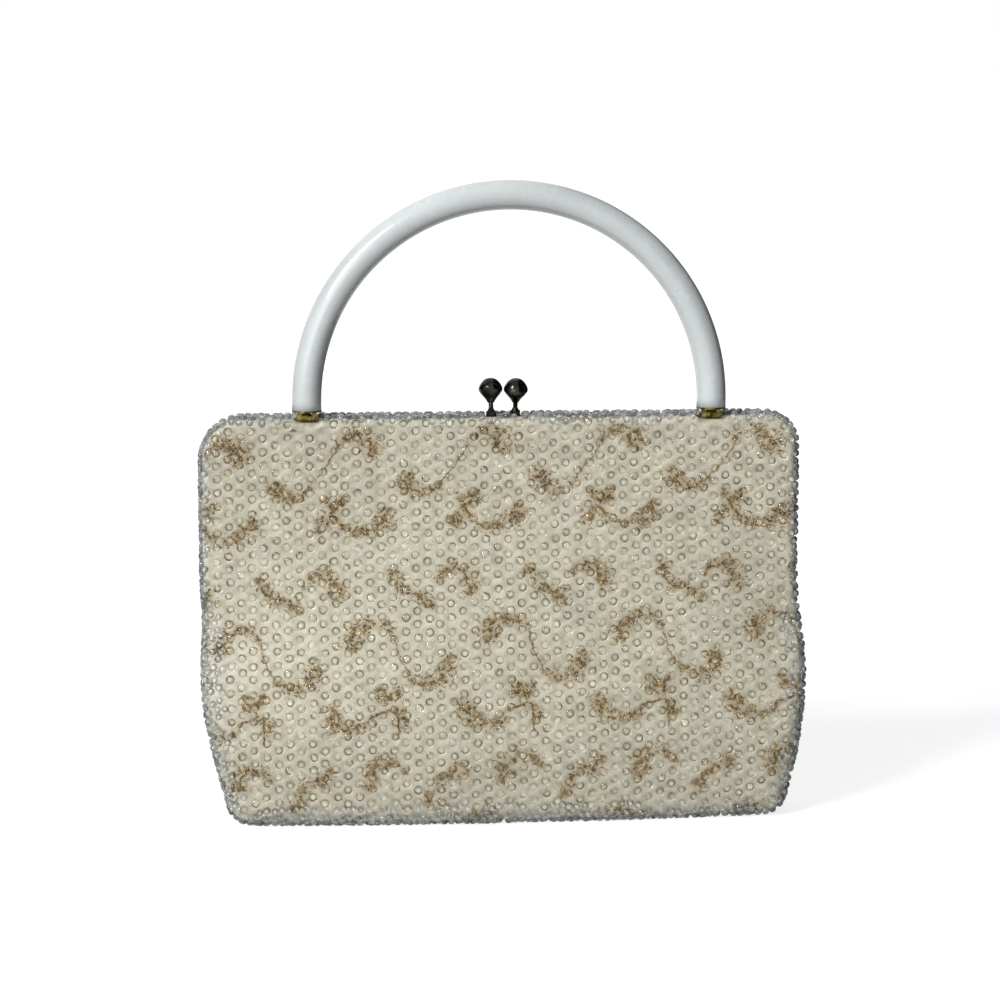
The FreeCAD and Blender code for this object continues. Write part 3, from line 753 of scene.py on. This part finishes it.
def scroll_places(bm, side):
    """Threads laid on the satin of the front (side -1) or the rear (1), and the points they cover."""
    tree = BVHTree.FromBMesh(bm)
    look = Vector((0, -side, 0))
    places = []
    covered = []
    for i in REPEATS:
        feathers, stems = motifs(REPEAT * 1000 * i + (0 if side < 0 else REAR_SHIFT))
        laid = [(s, True) for f in feathers for s in stitches(*f)]
        laid += [(s, False) for p in stems for s in stem_stitches(p)]
        for (middle, way, length), broad in laid:
            x, z = drifted(*middle)
            met = hit(tree, Vector((x / 1000, side, z / 1000)), look)
            if met is None:
                continue
            point, normal = met
            if broad and noise.noise(point * THREAD_GAPS) < THREAD_LOSS:
                continue
            aim = Vector((math.cos(way), random.uniform(-THREAD_TILT, THREAD_TILT), math.sin(way)))
            aim = (aim - normal * aim.dot(normal)).normalized()
            across = normal.cross(aim)
            turn = Matrix((across, normal, aim)).transposed().to_4x4()
            shape = Matrix.Diagonal((THREAD_WIDTH, THREAD_HEIGHT, length / 1000, 1))
            rise = normal * random.uniform(*THREAD_RISE)
            places.append(Matrix.Translation(point + rise) @ turn @ shape)
            covered.append(point)
    return places, covered


def mark_gold(piece, covered):
    """Writes how thick the scrolls lie round each point of a cloth."""
    tree = kdtree.KDTree(len(covered))
    for i, point in enumerate(covered):
        tree.insert(point, i)
    tree.balance()
    counts = [len(tree.find_range(v.co, TINT_REACH)) for v in piece.data.vertices]
    gold = piece.data.attributes.new("gold", "FLOAT", "POINT")
    gold.data.foreach_set("value", [min(count / TINT_THREADS, 1.0) for count in counts])


def mark_lattice(piece, view):
    """Writes where each point of a cloth lies in its lattice of beads."""
    _, first, second, low, _ = view
    place = piece.data.attributes.new("lattice", "FLOAT_VECTOR", "POINT")
    for v, spot in zip(piece.data.vertices, place.data):
        spot.vector = (first.dot(v.co) - low[0], second.dot(v.co) - low[1], 0)


# Finishes
def finish_tree(name):
    material = bpy.data.materials.new(name)
    material.use_nodes = True
    tree = material.node_tree
    return material, tree, tree.nodes["Principled BSDF"]


def fill(tree, node, inputs):
    """Sets or links the inputs of a node, each by its name or number."""
    for key, value in inputs.items():
        if isinstance(value, bpy.types.NodeSocket):
            tree.links.new(value, node.inputs[key])
        else:
            node.inputs[key].default_value = value


def add(tree, kind, settings=None, **inputs):
    """A node with its settings and its inputs, by name, or by number as i0, i1 and so on."""
    made = tree.nodes.new(kind)
    for key, value in (settings or {}).items():
        setattr(made, key, value)
    for key, value in inputs.items():
        numbered = key[0] == "i" and key[1:].isdigit()
        fill(tree, made, {int(key[1:]) if numbered else key: value})
    return made


def maths(tree, operation, *terms):
    node = add(tree, "ShaderNodeMath", {"operation": operation})
    fill(tree, node, dict(enumerate(terms)))
    return node.outputs[0]


def ranged(tree, value, low, high, start=0.0, stop=1.0):
    """A value between start and stop as one between low and high."""
    return add(tree, "ShaderNodeMapRange", Value=value, i1=start, i2=stop, i3=low, i4=high).outputs[0]


def srgb(red, green, blue):
    """A colour as it is seen on a screen, from 0 to 255."""
    shares = [c / 255 for c in (red, green, blue)]
    return tuple(c / 12.92 if c <= 0.04045 else ((c + 0.055) / 1.055) ** 2.4 for c in shares) + (1,)


def speckle(tree, scale, detail=2.0, stretch=(1, 1, 1)):
    """Noise on Object coordinates."""
    place = add(tree, "ShaderNodeTexCoord").outputs["Object"]
    place = add(tree, "ShaderNodeMapping", i0=place, i3=stretch).outputs[0]
    return add(tree, "ShaderNodeTexNoise", Vector=place, Scale=scale, Detail=detail).outputs["Fac"]


def shades(tree, fac, *stops):
    """A colour ramp from (place, colour) stops."""
    ramp = add(tree, "ShaderNodeValToRGB", Fac=fac)
    elements = ramp.color_ramp.elements
    while len(elements) < len(stops):
        elements.new(0.5)
    for element, (place, colour) in zip(elements, stops):
        element.position = place
        element.color = colour
    return ramp.outputs["Color"]


def dents(tree, shader, height, strength, distance):
    bump = add(tree, "ShaderNodeBump", Height=height, Strength=strength, Distance=distance)
    tree.links.new(bump.outputs["Normal"], shader.inputs["Normal"])


def attribute(tree, name, output):
    return add(tree, "ShaderNodeAttribute", {"attribute_name": name}).outputs[output]


def weave(tree, scale):
    """Crossing threads of a fine satin."""
    place = add(tree, "ShaderNodeTexCoord").outputs["Object"]
    threads = []
    for axis, share, wander in (("X", 1.0, 1.0), ("Z", 0.6, 1.5)):
        band = {"bands_direction": axis}
        wave = add(tree, "ShaderNodeTexWave", band, Vector=place, Scale=scale * share, Distortion=wander)
        threads.append(wave.outputs["Fac"])
    return maths(tree, "ADD", *threads)


def blended(tree, fac, first, second):
    return add(tree, "ShaderNodeMix", {"data_type": "RGBA"}, Factor=fac, i6=first, i7=second).outputs[2]


def sewn_down(tree):
    """One under each bead of the lattice, minus one between the beads."""
    split = add(tree, "ShaderNodeSeparateXYZ", Vector=attribute(tree, "lattice", "Vector")).outputs
    waves = []
    for axis, turn in (("X", math.pi / BEAD_COLUMN), ("Y", math.tau / BEAD_PITCH)):
        waves.append(maths(tree, "COSINE", maths(tree, "MULTIPLY", split[axis], turn)))
    return maths(tree, "MULTIPLY", *waves)


def brocade_finish():
    """Cream satin that dips where each bead is sewn down, with painted shade darkening its colour in those dips,
    browned by the gold scrolls.
    """
    material, tree, shader = finish_tree("brocade_satin")
    sewn = maths(tree, "MULTIPLY", sewn_down(tree), 0.2)
    fine = maths(tree, "MULTIPLY", speckle(tree, 620, 2), 0.7)
    cloudy = maths(tree, "ADD", maths(tree, "MULTIPLY", speckle(tree, 150, 4), 0.5), fine)
    # painted shade: the same dips that dent the satin also darken its colour under each bead
    cloudy = maths(tree, "ADD", maths(tree, "MULTIPLY", sewn, 0.75), cloudy)
    cream = shades(tree, cloudy, (0.38, srgb(211, 207, 190)), (0.82, srgb(166, 161, 143)))
    brown = shades(tree, speckle(tree, 900, 3), (0.35, srgb(122, 106, 74)), (0.7, srgb(180, 166, 134)))
    worked = maths(tree, "MULTIPLY", attribute(tree, "gold", "Fac"), TINT)
    tone = blended(tree, worked, cream, brown)
    rough = ranged(tree, speckle(tree, 260), 0.42, 0.6)
    fill(tree, shader, {"Base Color": tone, "Roughness": rough, "Sheen Weight": 0.15})
    dents(tree, shader, maths(tree, "SUBTRACT", fine, sewn), 0.5, 0.0004)
    return material


def lining_finish():
    material, tree, shader = finish_tree("lining_satin")
    streaks = speckle(tree, 40, 3, (3, 3, 0.6))
    tone = shades(tree, streaks, (0.35, srgb(220, 211, 188)), (0.65, srgb(231, 222, 200)))
    fill(tree, shader, {"Base Color": tone, "Roughness": 0.38, "Sheen Weight": 0.3})
    dents(tree, shader, weave(tree, 500), 0.06, 0.0002)
    return material


def glass_finish(name, dark, low, high, clearness):
    """Clear glass over satin, with light and shade painted on each bead: a painted bright middle where the glass
    would focus light, in a painted dark ring where its refraction would show shade.
    """
    material, tree, shader = finish_tree(name)
    split = add(tree, "ShaderNodeSeparateXYZ", Vector=attribute(tree, "bead", "Vector")).outputs
    flat = add(tree, "ShaderNodeCombineXYZ", X=split["X"], Y=split["Y"]).outputs[0]
    out = add(tree, "ShaderNodeVectorMath", {"operation": "LENGTH"}, i0=flat).outputs["Value"]
    wander = ranged(tree, speckle(tree, 330, 0), -0.14, 0.14, 0.3, 0.7)
    # painted highlight in the white middle and painted shade in the dark ring, set by where a point lies on its
    # bead
    ring = shades(
        tree,
        maths(tree, "ADD", out, wander),
        (0.0, srgb(255, 255, 253)),
        (0.22, srgb(244, 244, 239)),
        (0.42, low),
        (0.66, dark),
        (0.84, dark),
        (1.0, low),
    )
    clear = shades(tree, speckle(tree, 260, 1), (0.35, low), (0.65, high))
    shown = ranged(tree, speckle(tree, 190, 0), 0.45, 1.0, 0.35, 0.6)
    brown = shades(tree, speckle(tree, 700, 3), (0.35, srgb(142, 118, 76)), (0.65, srgb(232, 212, 168)))
    worked = maths(tree, "MULTIPLY", attribute(tree, "gold", "Fac"), TINT)
    tone = blended(tree, worked, blended(tree, shown, clear, ring), brown)
    fill(tree, shader, {"Base Color": tone, "Transmission Weight": clearness, "Roughness": 0.05, "IOR": 1.36})
    dents(tree, shader, speckle(tree, 900, 1), 0.15, 0.0003)
    return material


def thread_finish():
    material, tree, shader = finish_tree("gold_thread")
    tone = shades(
        tree,
        speckle(tree, 1300, 2),
        (0.3, srgb(74, 58, 31)),
        (0.5, srgb(134, 109, 65)),
        (0.72, srgb(224, 199, 145)),
    )
    fill(tree, shader, {"Base Color": tone, "Metallic": 0.6, "Roughness": 0.36})
    dents(tree, shader, speckle(tree, 2600, 1), 0.3, 0.0002)
    return material


def plastic_finish():
    material, tree, shader = finish_tree("white_plastic")
    tone = shades(tree, speckle(tree, 25, 3), (0.3, srgb(200, 206, 208)), (0.7, srgb(211, 217, 219)))
    rough = ranged(tree, speckle(tree, 160, 4), 0.2, 0.34)
    fill(tree, shader, {"Base Color": tone, "Roughness": rough, "Coat Weight": 0.6, "Coat Roughness": 0.12})
    dents(tree, shader, speckle(tree, 90, 2), 0.08, 0.0006)
    return material


def metal_finish(name, dark, light, rough_low, rough_high, wear=0.0):
    """Metal from a dark to a light tone, which part into patches as it wears."""
    material, tree, shader = finish_tree(name)
    patches = speckle(tree, 240 + 180 * wear, 5)
    tone = shades(tree, patches, (0.3 + 0.06 * wear, dark), (0.7 - 0.06 * wear, light))
    rough = ranged(tree, speckle(tree, 420, 4), rough_low, rough_high)
    fill(tree, shader, {"Base Color": tone, "Metallic": 1.0, "Roughness": rough})
    dents(tree, shader, speckle(tree, 800, 2), 0.06, 0.0003)
    return material


def board_finish():
    material, tree, shader = finish_tree("pasteboard")
    tone = shades(tree, speckle(tree, 500, 5), (0.3, srgb(150, 132, 104)), (0.7, srgb(181, 163, 133)))
    fill(tree, shader, {"Base Color": tone, "Roughness": 0.9})
    dents(tree, shader, speckle(tree, 1500, 3), 0.3, 0.0003)
    return material


SATIN_CLOTH = brocade_finish()
LINING_CLOTH = lining_finish()
# the first colour is the painted shade of each bead's ring, the other two the clear glass
GLASS = glass_finish("bead_glass", srgb(132, 127, 110), srgb(202, 200, 188), srgb(238, 238, 233), 0.85)
# a darker, greyer, less clear copy of the bead glass: painted shade for the beads where the pouch turns away, on
# its edges, gussets and base
SHADED_EDGE_GLASS = glass_finish(
    "edge_bead_glass", srgb(120, 122, 122), srgb(178, 181, 182), srgb(222, 225, 226), 0.68
)
THREAD = thread_finish()
PLASTIC = plastic_finish()
GILT = metal_finish("gilt_brass", srgb(104, 92, 46), srgb(144, 130, 76), 0.28, 0.45)
WORN_GILT = metal_finish("worn_gilt", srgb(52, 46, 20), srgb(150, 136, 78), 0.25, 0.55, 1.0)
GUNMETAL = metal_finish("gunmetal", srgb(26, 26, 24), srgb(68, 67, 62), 0.1, 0.2)
STEEL = metal_finish("steel", srgb(150, 152, 154), srgb(186, 188, 190), 0.28, 0.45)
BOARD = board_finish()
BEAD = bead_template()
STRAND = thread_template()

SLOT_FINISHES = {
    "beaded_brocade": SATIN_CLOTH,
    "satin_lining": LINING_CLOTH,
    "pasteboard": BOARD,
    "steel": STEEL,
    "white_plastic": PLASTIC,
    "gunmetal": GUNMETAL,
    "gilt_brass": GILT,
}


def dress_nodes():
    """Gives each CAD node the finish of its slot in the record, worn where the handle turns."""
    for part in frame["record"]["subparts"]:
        node = frame["nodes"][part["node"]]
        worn = part["node"].endswith(("_handle_ferrule", "_handle_lug"))
        node.data.materials.clear()
        node.data.materials.append(WORN_GILT if worn else SLOT_FINISHES[part["material_slot"]])


# Pieces of cloth with their beads and scrolls
def cloth_area(bm):
    return sum(f.calc_area() for f in bm.faces)


def lay_satin(name, bm, view, nodes):
    """A cloth under beads, in place of its solids."""
    piece = new_piece(name, bm, SATIN_CLOTH)
    mark_lattice(piece, view)
    thicken(piece, SATIN)
    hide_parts(*nodes)
    return piece


def lay_lining(name, bm, nodes, half=None):
    """A lining in place of its solids, which rides on the pouch unless a half of the frame is given."""
    area = cloth_area(bm)
    piece = new_piece(name, bm, LINING_CLOTH)
    thicken(piece, LINING)
    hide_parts(*nodes)
    if half:
        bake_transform(piece)
    else:
        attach(piece, "pouch")


def at_edge(point, normal, look):
    """Whether a place on a panel lies where it turns away towards its outline, where its beads take the glass with
    painted shade.
    """
    from_side = form(point.z, 0)[0] - abs(point.x - lean(point.z))
    inside = from_side > EDGE_REACH and EDGE_REACH < point.z < BAG_HEIGHT - EDGE_REACH
    return from_side < SIDE_BAND or (not inside and normal.dot(look) > TURNED_AWAY)


def bare(point, side):
    """Whether a place on a panel is kept clear for the handle or for the clasp."""
    if side < 0 and from_notch(point.x) < BARE_HALF and point.z > BAG_HEIGHT - BARE_DEPTH:
        return True
    beside = min(abs(point.x - x) for x in STEMS)
    return beside < STEM_ROOM and abs(point.y) < 2 * STEM_ROOM and point.z > BAND_BOTTOM


def thirds(cloth):
    """The nodes of a panel or of its lining."""
    return [cloth + "_" + part for part in ("lower", "crease", "upper")]


def dress_side(which, half, side):
    """A panel with its beads, scrolls and lining, for the front or the rear."""
    bm = panel_mesh(notched=side < 0)
    lining = lining_mesh()
    if side > 0:
        turn_to_rear(bm)
        turn_to_rear(lining)
    bm.normal_update()
    area = cloth_area(bm)
    look = Vector((0, -side, 0))
    view = (look, X_AXIS, Z_AXIS, (-BELLY_HALF, LOWEST_BEAD), (BELLY_HALF, BAG_HEIGHT))
    found = itertools.chain(*bead_places(bm, view, lambda v: at_edge(v.co, v.normal, look)))
    found = [place for place in found if not bare(place[0], side)]
    threads, covered = scroll_places(bm, side)
    face = [place for place in found if not at_edge(*place, look)]
    rim = [place for place in found if at_edge(*place, look)]
    panel = lay_satin(which + "_panel", bm, view, thirds(which + "_panel"))
    face_beads = beads(which + "_beads", face, FACE_BEAD, GLASS)
    edge_beads = beads(which + "_edge_beads", rim, EDGE_BEAD, SHADED_EDGE_GLASS)
    mark_gold(panel, covered)
    mark_gold(face_beads, covered)
    scrolls = copies(which + "_scrolls", STRAND, threads, THREAD)
    for piece in (panel, face_beads, edge_beads, scrolls):
        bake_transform(piece)
    lay_lining(which + "_lining", lining, thirds(which + "_lining"), half)


def dress_below(cloth_name, bead_name, bm, view, node):
    """A cloth of the pouch with edge beads all over, in the glass with painted shade."""
    area = cloth_area(bm)
    face, rim = bead_places(bm, view, lambda v: True)
    cloth = lay_satin(cloth_name, bm, view, [node])
    for piece in (cloth, beads(bead_name, face + rim, EDGE_BEAD, SHADED_EDGE_GLASS)):
        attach(piece, "pouch")


def dress_gusset(which, sign):
    gusset = which + "_gusset"
    view = (-sign * X_AXIS, Y_AXIS, Z_AXIS, (-BELLY_SIDE, LOWEST_BEAD), (BELLY_SIDE, HINGE_HEIGHT))
    dress_below(gusset + "_cloth", gusset + "_beads", gusset_mesh(sign), view, gusset)
    lay_lining(which + "_side_lining", gusset_lining_mesh(sign), [gusset + "_lining"])


def dress_base():
    view = (Z_AXIS, X_AXIS, Y_AXIS, (-BASE_HALF, -BASE_MIDDLE), (BASE_HALF, BASE_MIDDLE))
    dress_below("base_cloth", "base_beads", base_mesh(), view, "base_panel")
    lay_lining("floor_lining", base_lining_mesh(), ["base_lining"])
    lay_lining("pocket", pocket_mesh(), ["slip_pocket"])


# Handle and clasp
TUBE_WALL = 0.0024
TUBE_SIDES = 48
ARCH_STEPS = 120
WELD = 0.000001  # points closer than this are one


def only(kind, geometry):
    return [g for g in geometry if isinstance(g, kind)]


def close(bm):
    bmesh.ops.remove_doubles(bm, verts=bm.verts, dist=WELD)
    bmesh.ops.recalc_face_normals(bm, faces=bm.faces)


def dress_handle():
    """The tube: a round wall swept up one leg, over the arch and down the other leg."""
    low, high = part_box("handle_tube")
    radius = (high.y - low.y) / 2
    foot = Vector((high.x - radius, (low.y + high.y) / 2, low.z))
    centre = Vector(((low.x + high.x) / 2, foot.y, high.z - (high.x - low.x) / 2))
    rise = Vector((0, 0, centre.z - foot.z))
    bm = bmesh.new()
    bmesh.ops.create_circle(bm, segments=TUBE_SIDES, radius=radius, matrix=Matrix.Translation(foot))
    made = bmesh.ops.extrude_edge_only(bm, edges=bm.edges[:])["geom"]
    ring = only(bmesh.types.BMVert, made)
    bmesh.ops.translate(bm, vec=rise, verts=ring)
    rim = [e for e in only(bmesh.types.BMEdge, made) if e.is_boundary]
    arc = {"cent": centre, "axis": (0, -1, 0), "angle": math.pi, "steps": ARCH_STEPS}
    made = bmesh.ops.spin(bm, geom=ring + rim, use_duplicate=False, **arc)["geom_last"]
    made = bmesh.ops.extrude_edge_only(bm, edges=only(bmesh.types.BMEdge, made))["geom"]
    bmesh.ops.translate(bm, vec=-rise, verts=only(bmesh.types.BMVert, made))
    close(bm)
    tube = new_piece("handle_arch", bm, PLASTIC)
    thicken(tube, TUBE_WALL)
    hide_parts("handle_tube")
    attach(tube, "handle")


BALL_SPREAD = 1.03  # the onion against the plain ball
BALL_SIDES = 40
STEM_FOOT = 0.0015  # from the middle to where a stem leaves the bag
BALL_PROFILE = (  # distance from the stem's line and height, as shares
    (0.0, 0.94), (0.25, 0.92), (0.5, 0.82), (0.75, 0.56), (0.93, 0.24), (1.0, 0.0),
    (0.94, -0.2), (0.76, -0.45), (0.54, -0.7), (0.37, -0.92), (0.27, -1.15), (0.2, -1.15),
)


def dress_ball(which, side):
    """A clasp ball turned as an onion, drawn down to its stem."""
    low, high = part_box(which + "_clasp_ball")
    radius = (high.x - low.x) / 2
    centre = Vector(((low.x + high.x) / 2, (low.y + high.y) / 2, high.z - radius))
    foot = Vector((centre.x, STEM_FOOT * side, BAG_HEIGHT))
    bm = bmesh.new()
    line = [bm.verts.new((r * radius * BALL_SPREAD, 0, h * radius)) for r, h in BALL_PROFILE]
    edges = [bm.edges.new(pair) for pair in zip(line, line[1:])]
    arc = {"cent": (0, 0, 0), "axis": (0, 0, 1), "angle": math.tau, "steps": BALL_SIDES}
    bmesh.ops.spin(bm, geom=line + edges, use_merge=True, **arc)
    close(bm)
    turn = (centre - foot).to_track_quat("Z", "Y").to_matrix().to_4x4()
    bmesh.ops.transform(bm, matrix=Matrix.Translation(centre) @ turn, verts=bm.verts)
    ball = new_piece(which + "_ball", bm, GUNMETAL)
    smooth = ball.modifiers.new("turned", "SUBSURF")
    smooth.levels = smooth.render_levels = 1
    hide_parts(which + "_clasp_ball")
    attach(ball, which + "_half")


dress_nodes()
dress_side("front", "front_half", -1)
dress_side("rear", "rear_half", 1)
dress_gusset("left", -1)
dress_gusset("right", 1)
dress_base()
dress_handle()
dress_ball("front", -1)
dress_ball("rear", 1)

# Studio
WORLD_LIGHT = 0.22
REAR_LIGHT = 1.4  # what the soft light grows to straight behind the bag
FLOOR_TONE = 0.35
FLOOR_GLOW = 0.8
FLOOR_SIZE = (60, 60)
DARK_CARDS = (  # name, size, place and the way it looks
    ("dark_right", (1.6, 1.0), (0.3, 0.1, 0.5), (-1, 0, 0)),
    ("dark_left", (0.9, 0.9), (-0.75, 0.25, 0.45), (1, 0, 0)),
)
LAMPS = (  # name, the way to it, its spread in degrees, strength and colour
    ("key", (-0.95, -1.0, 0.85), 13, 2.65, (1, 0.99, 0.97)),
    ("fill", (-0.55, -1.0, 0.03), 40, 1.05, (0.98, 0.99, 1)),
)
CAMERA_AZIMUTH = -5.2
CAMERA_ELEVATION = 7.5
CAMERA_DISTANCE = 1.1
CAMERA_SENSOR = 36
CAMERA_SIGHT = 200
CAMERA_LENS = 94.0 * CAMERA_DISTANCE
CAMERA_TARGET = Vector((0.0001, 0, 0.123))


def background_share(tree):
    """One for what the camera, a gloss or a glass sees, none for light that falls on the object."""
    seen = add(tree, "ShaderNodeLightPath").outputs
    share = maths(tree, "ADD", seen["Is Camera Ray"], seen["Is Glossy Ray"])
    both = {"operation": "ADD", "use_clamp": True}
    return add(tree, "ShaderNodeMath", both, i0=share, i1=seen["Is Transmission Ray"]).outputs[0]


def floor_finish():
    """A pale floor that shows as white but keeps the shadow."""
    material, tree, shader = finish_tree("floor")
    tone = (FLOOR_TONE, FLOOR_TONE, FLOOR_TONE, 1)
    fill(tree, shader, {"Base Color": tone, "Roughness": 1.0, "Specular IOR Level": 0.0})
    glow = maths(tree, "MULTIPLY", background_share(tree), FLOOR_GLOW)
    white = add(tree, "ShaderNodeEmission", Color=(1, 1, 1, 1), Strength=glow)
    both = add(tree, "ShaderNodeAddShader", i0=shader.outputs[0], i1=white.outputs[0])
    tree.links.new(both.outputs[0], tree.nodes["Material Output"].inputs["Surface"])
    return material


def dark_finish():
    material, tree, shader = finish_tree("dark_card")
    tone = shades(tree, speckle(tree, 4, 2), (0.3, (0.02, 0.02, 0.02, 1)), (0.7, (0.03, 0.03, 0.03, 1)))
    fill(tree, shader, {"Base Color": tone, "Roughness": 0.9})
    return material


def flat_card(name, size, place, aim, material):
    bm = bmesh.new()
    bmesh.ops.create_grid(bm, x_segments=1, y_segments=1, size=0.5)
    bmesh.ops.scale(bm, vec=(size[0], size[1], 1), verts=bm.verts)
    turn = Vector(aim).to_track_quat("Z", "Y").to_matrix().to_4x4()
    bmesh.ops.transform(bm, matrix=Matrix.Translation(place) @ turn, verts=bm.verts)
    card = new_piece(name, bm, material)
    card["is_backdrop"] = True
    return card


def lamp(name, way, angle, strength, colour):
    """A soft light from far off, on the side that its way points to."""
    data = bpy.data.lights.new(name, "SUN")
    data.angle = math.radians(angle)
    data.energy = strength
    data.color = colour
    light = new_object(name, data)
    light.location = way
    light.rotation_euler = Vector(way).to_track_quat("Z", "Y").to_euler()


def studio():
    flat_card("floor", FLOOR_SIZE, (0, 0, 0), Z_AXIS, floor_finish())
    dark = dark_finish()
    for name, size, place, aim in DARK_CARDS:
        card = flat_card(name, size, place, aim, dark)
        card.visible_camera = False
        card.visible_shadow = False
    for setting in LAMPS:
        lamp(*setting)
    world = bpy.data.worlds.new("studio")
    world.use_nodes = True
    tree = world.node_tree
    way = add(tree, "ShaderNodeTexCoord").outputs["Generated"]
    rearwards = add(tree, "ShaderNodeSeparateXYZ", Vector=way).outputs["Y"]
    soft = ranged(tree, rearwards, WORLD_LIGHT, REAR_LIGHT)
    strength = ranged(tree, background_share(tree), soft, 1.0)
    fill(tree, tree.nodes["Background"], {"Color": (1, 1, 1, 1), "Strength": strength})
    bpy.context.scene.world = world
    bpy.context.scene.view_settings.view_transform = "Standard"


def camera():
    data = bpy.data.cameras.new("camera")
    data.sensor_width = CAMERA_SENSOR
    data.lens = CAMERA_LENS
    data.clip_end = CAMERA_SIGHT
    eye = new_object("camera", data)
    azimuth = math.radians(CAMERA_AZIMUTH)
    elevation = math.radians(CAMERA_ELEVATION)
    out = math.cos(elevation)
    back = Vector((math.sin(azimuth) * out, -math.cos(azimuth) * out, math.sin(elevation)))
    eye.location = CAMERA_TARGET + back * CAMERA_DISTANCE
    eye.rotation_euler = (-back).to_track_quat("-Z", "Y").to_euler()
    bpy.context.scene.camera = eye


studio()
camera()

boxes = {"cad": cad_box, "visual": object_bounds()}
{name: [list(corner) for corner in corners] for name, corners in boxes.items()}
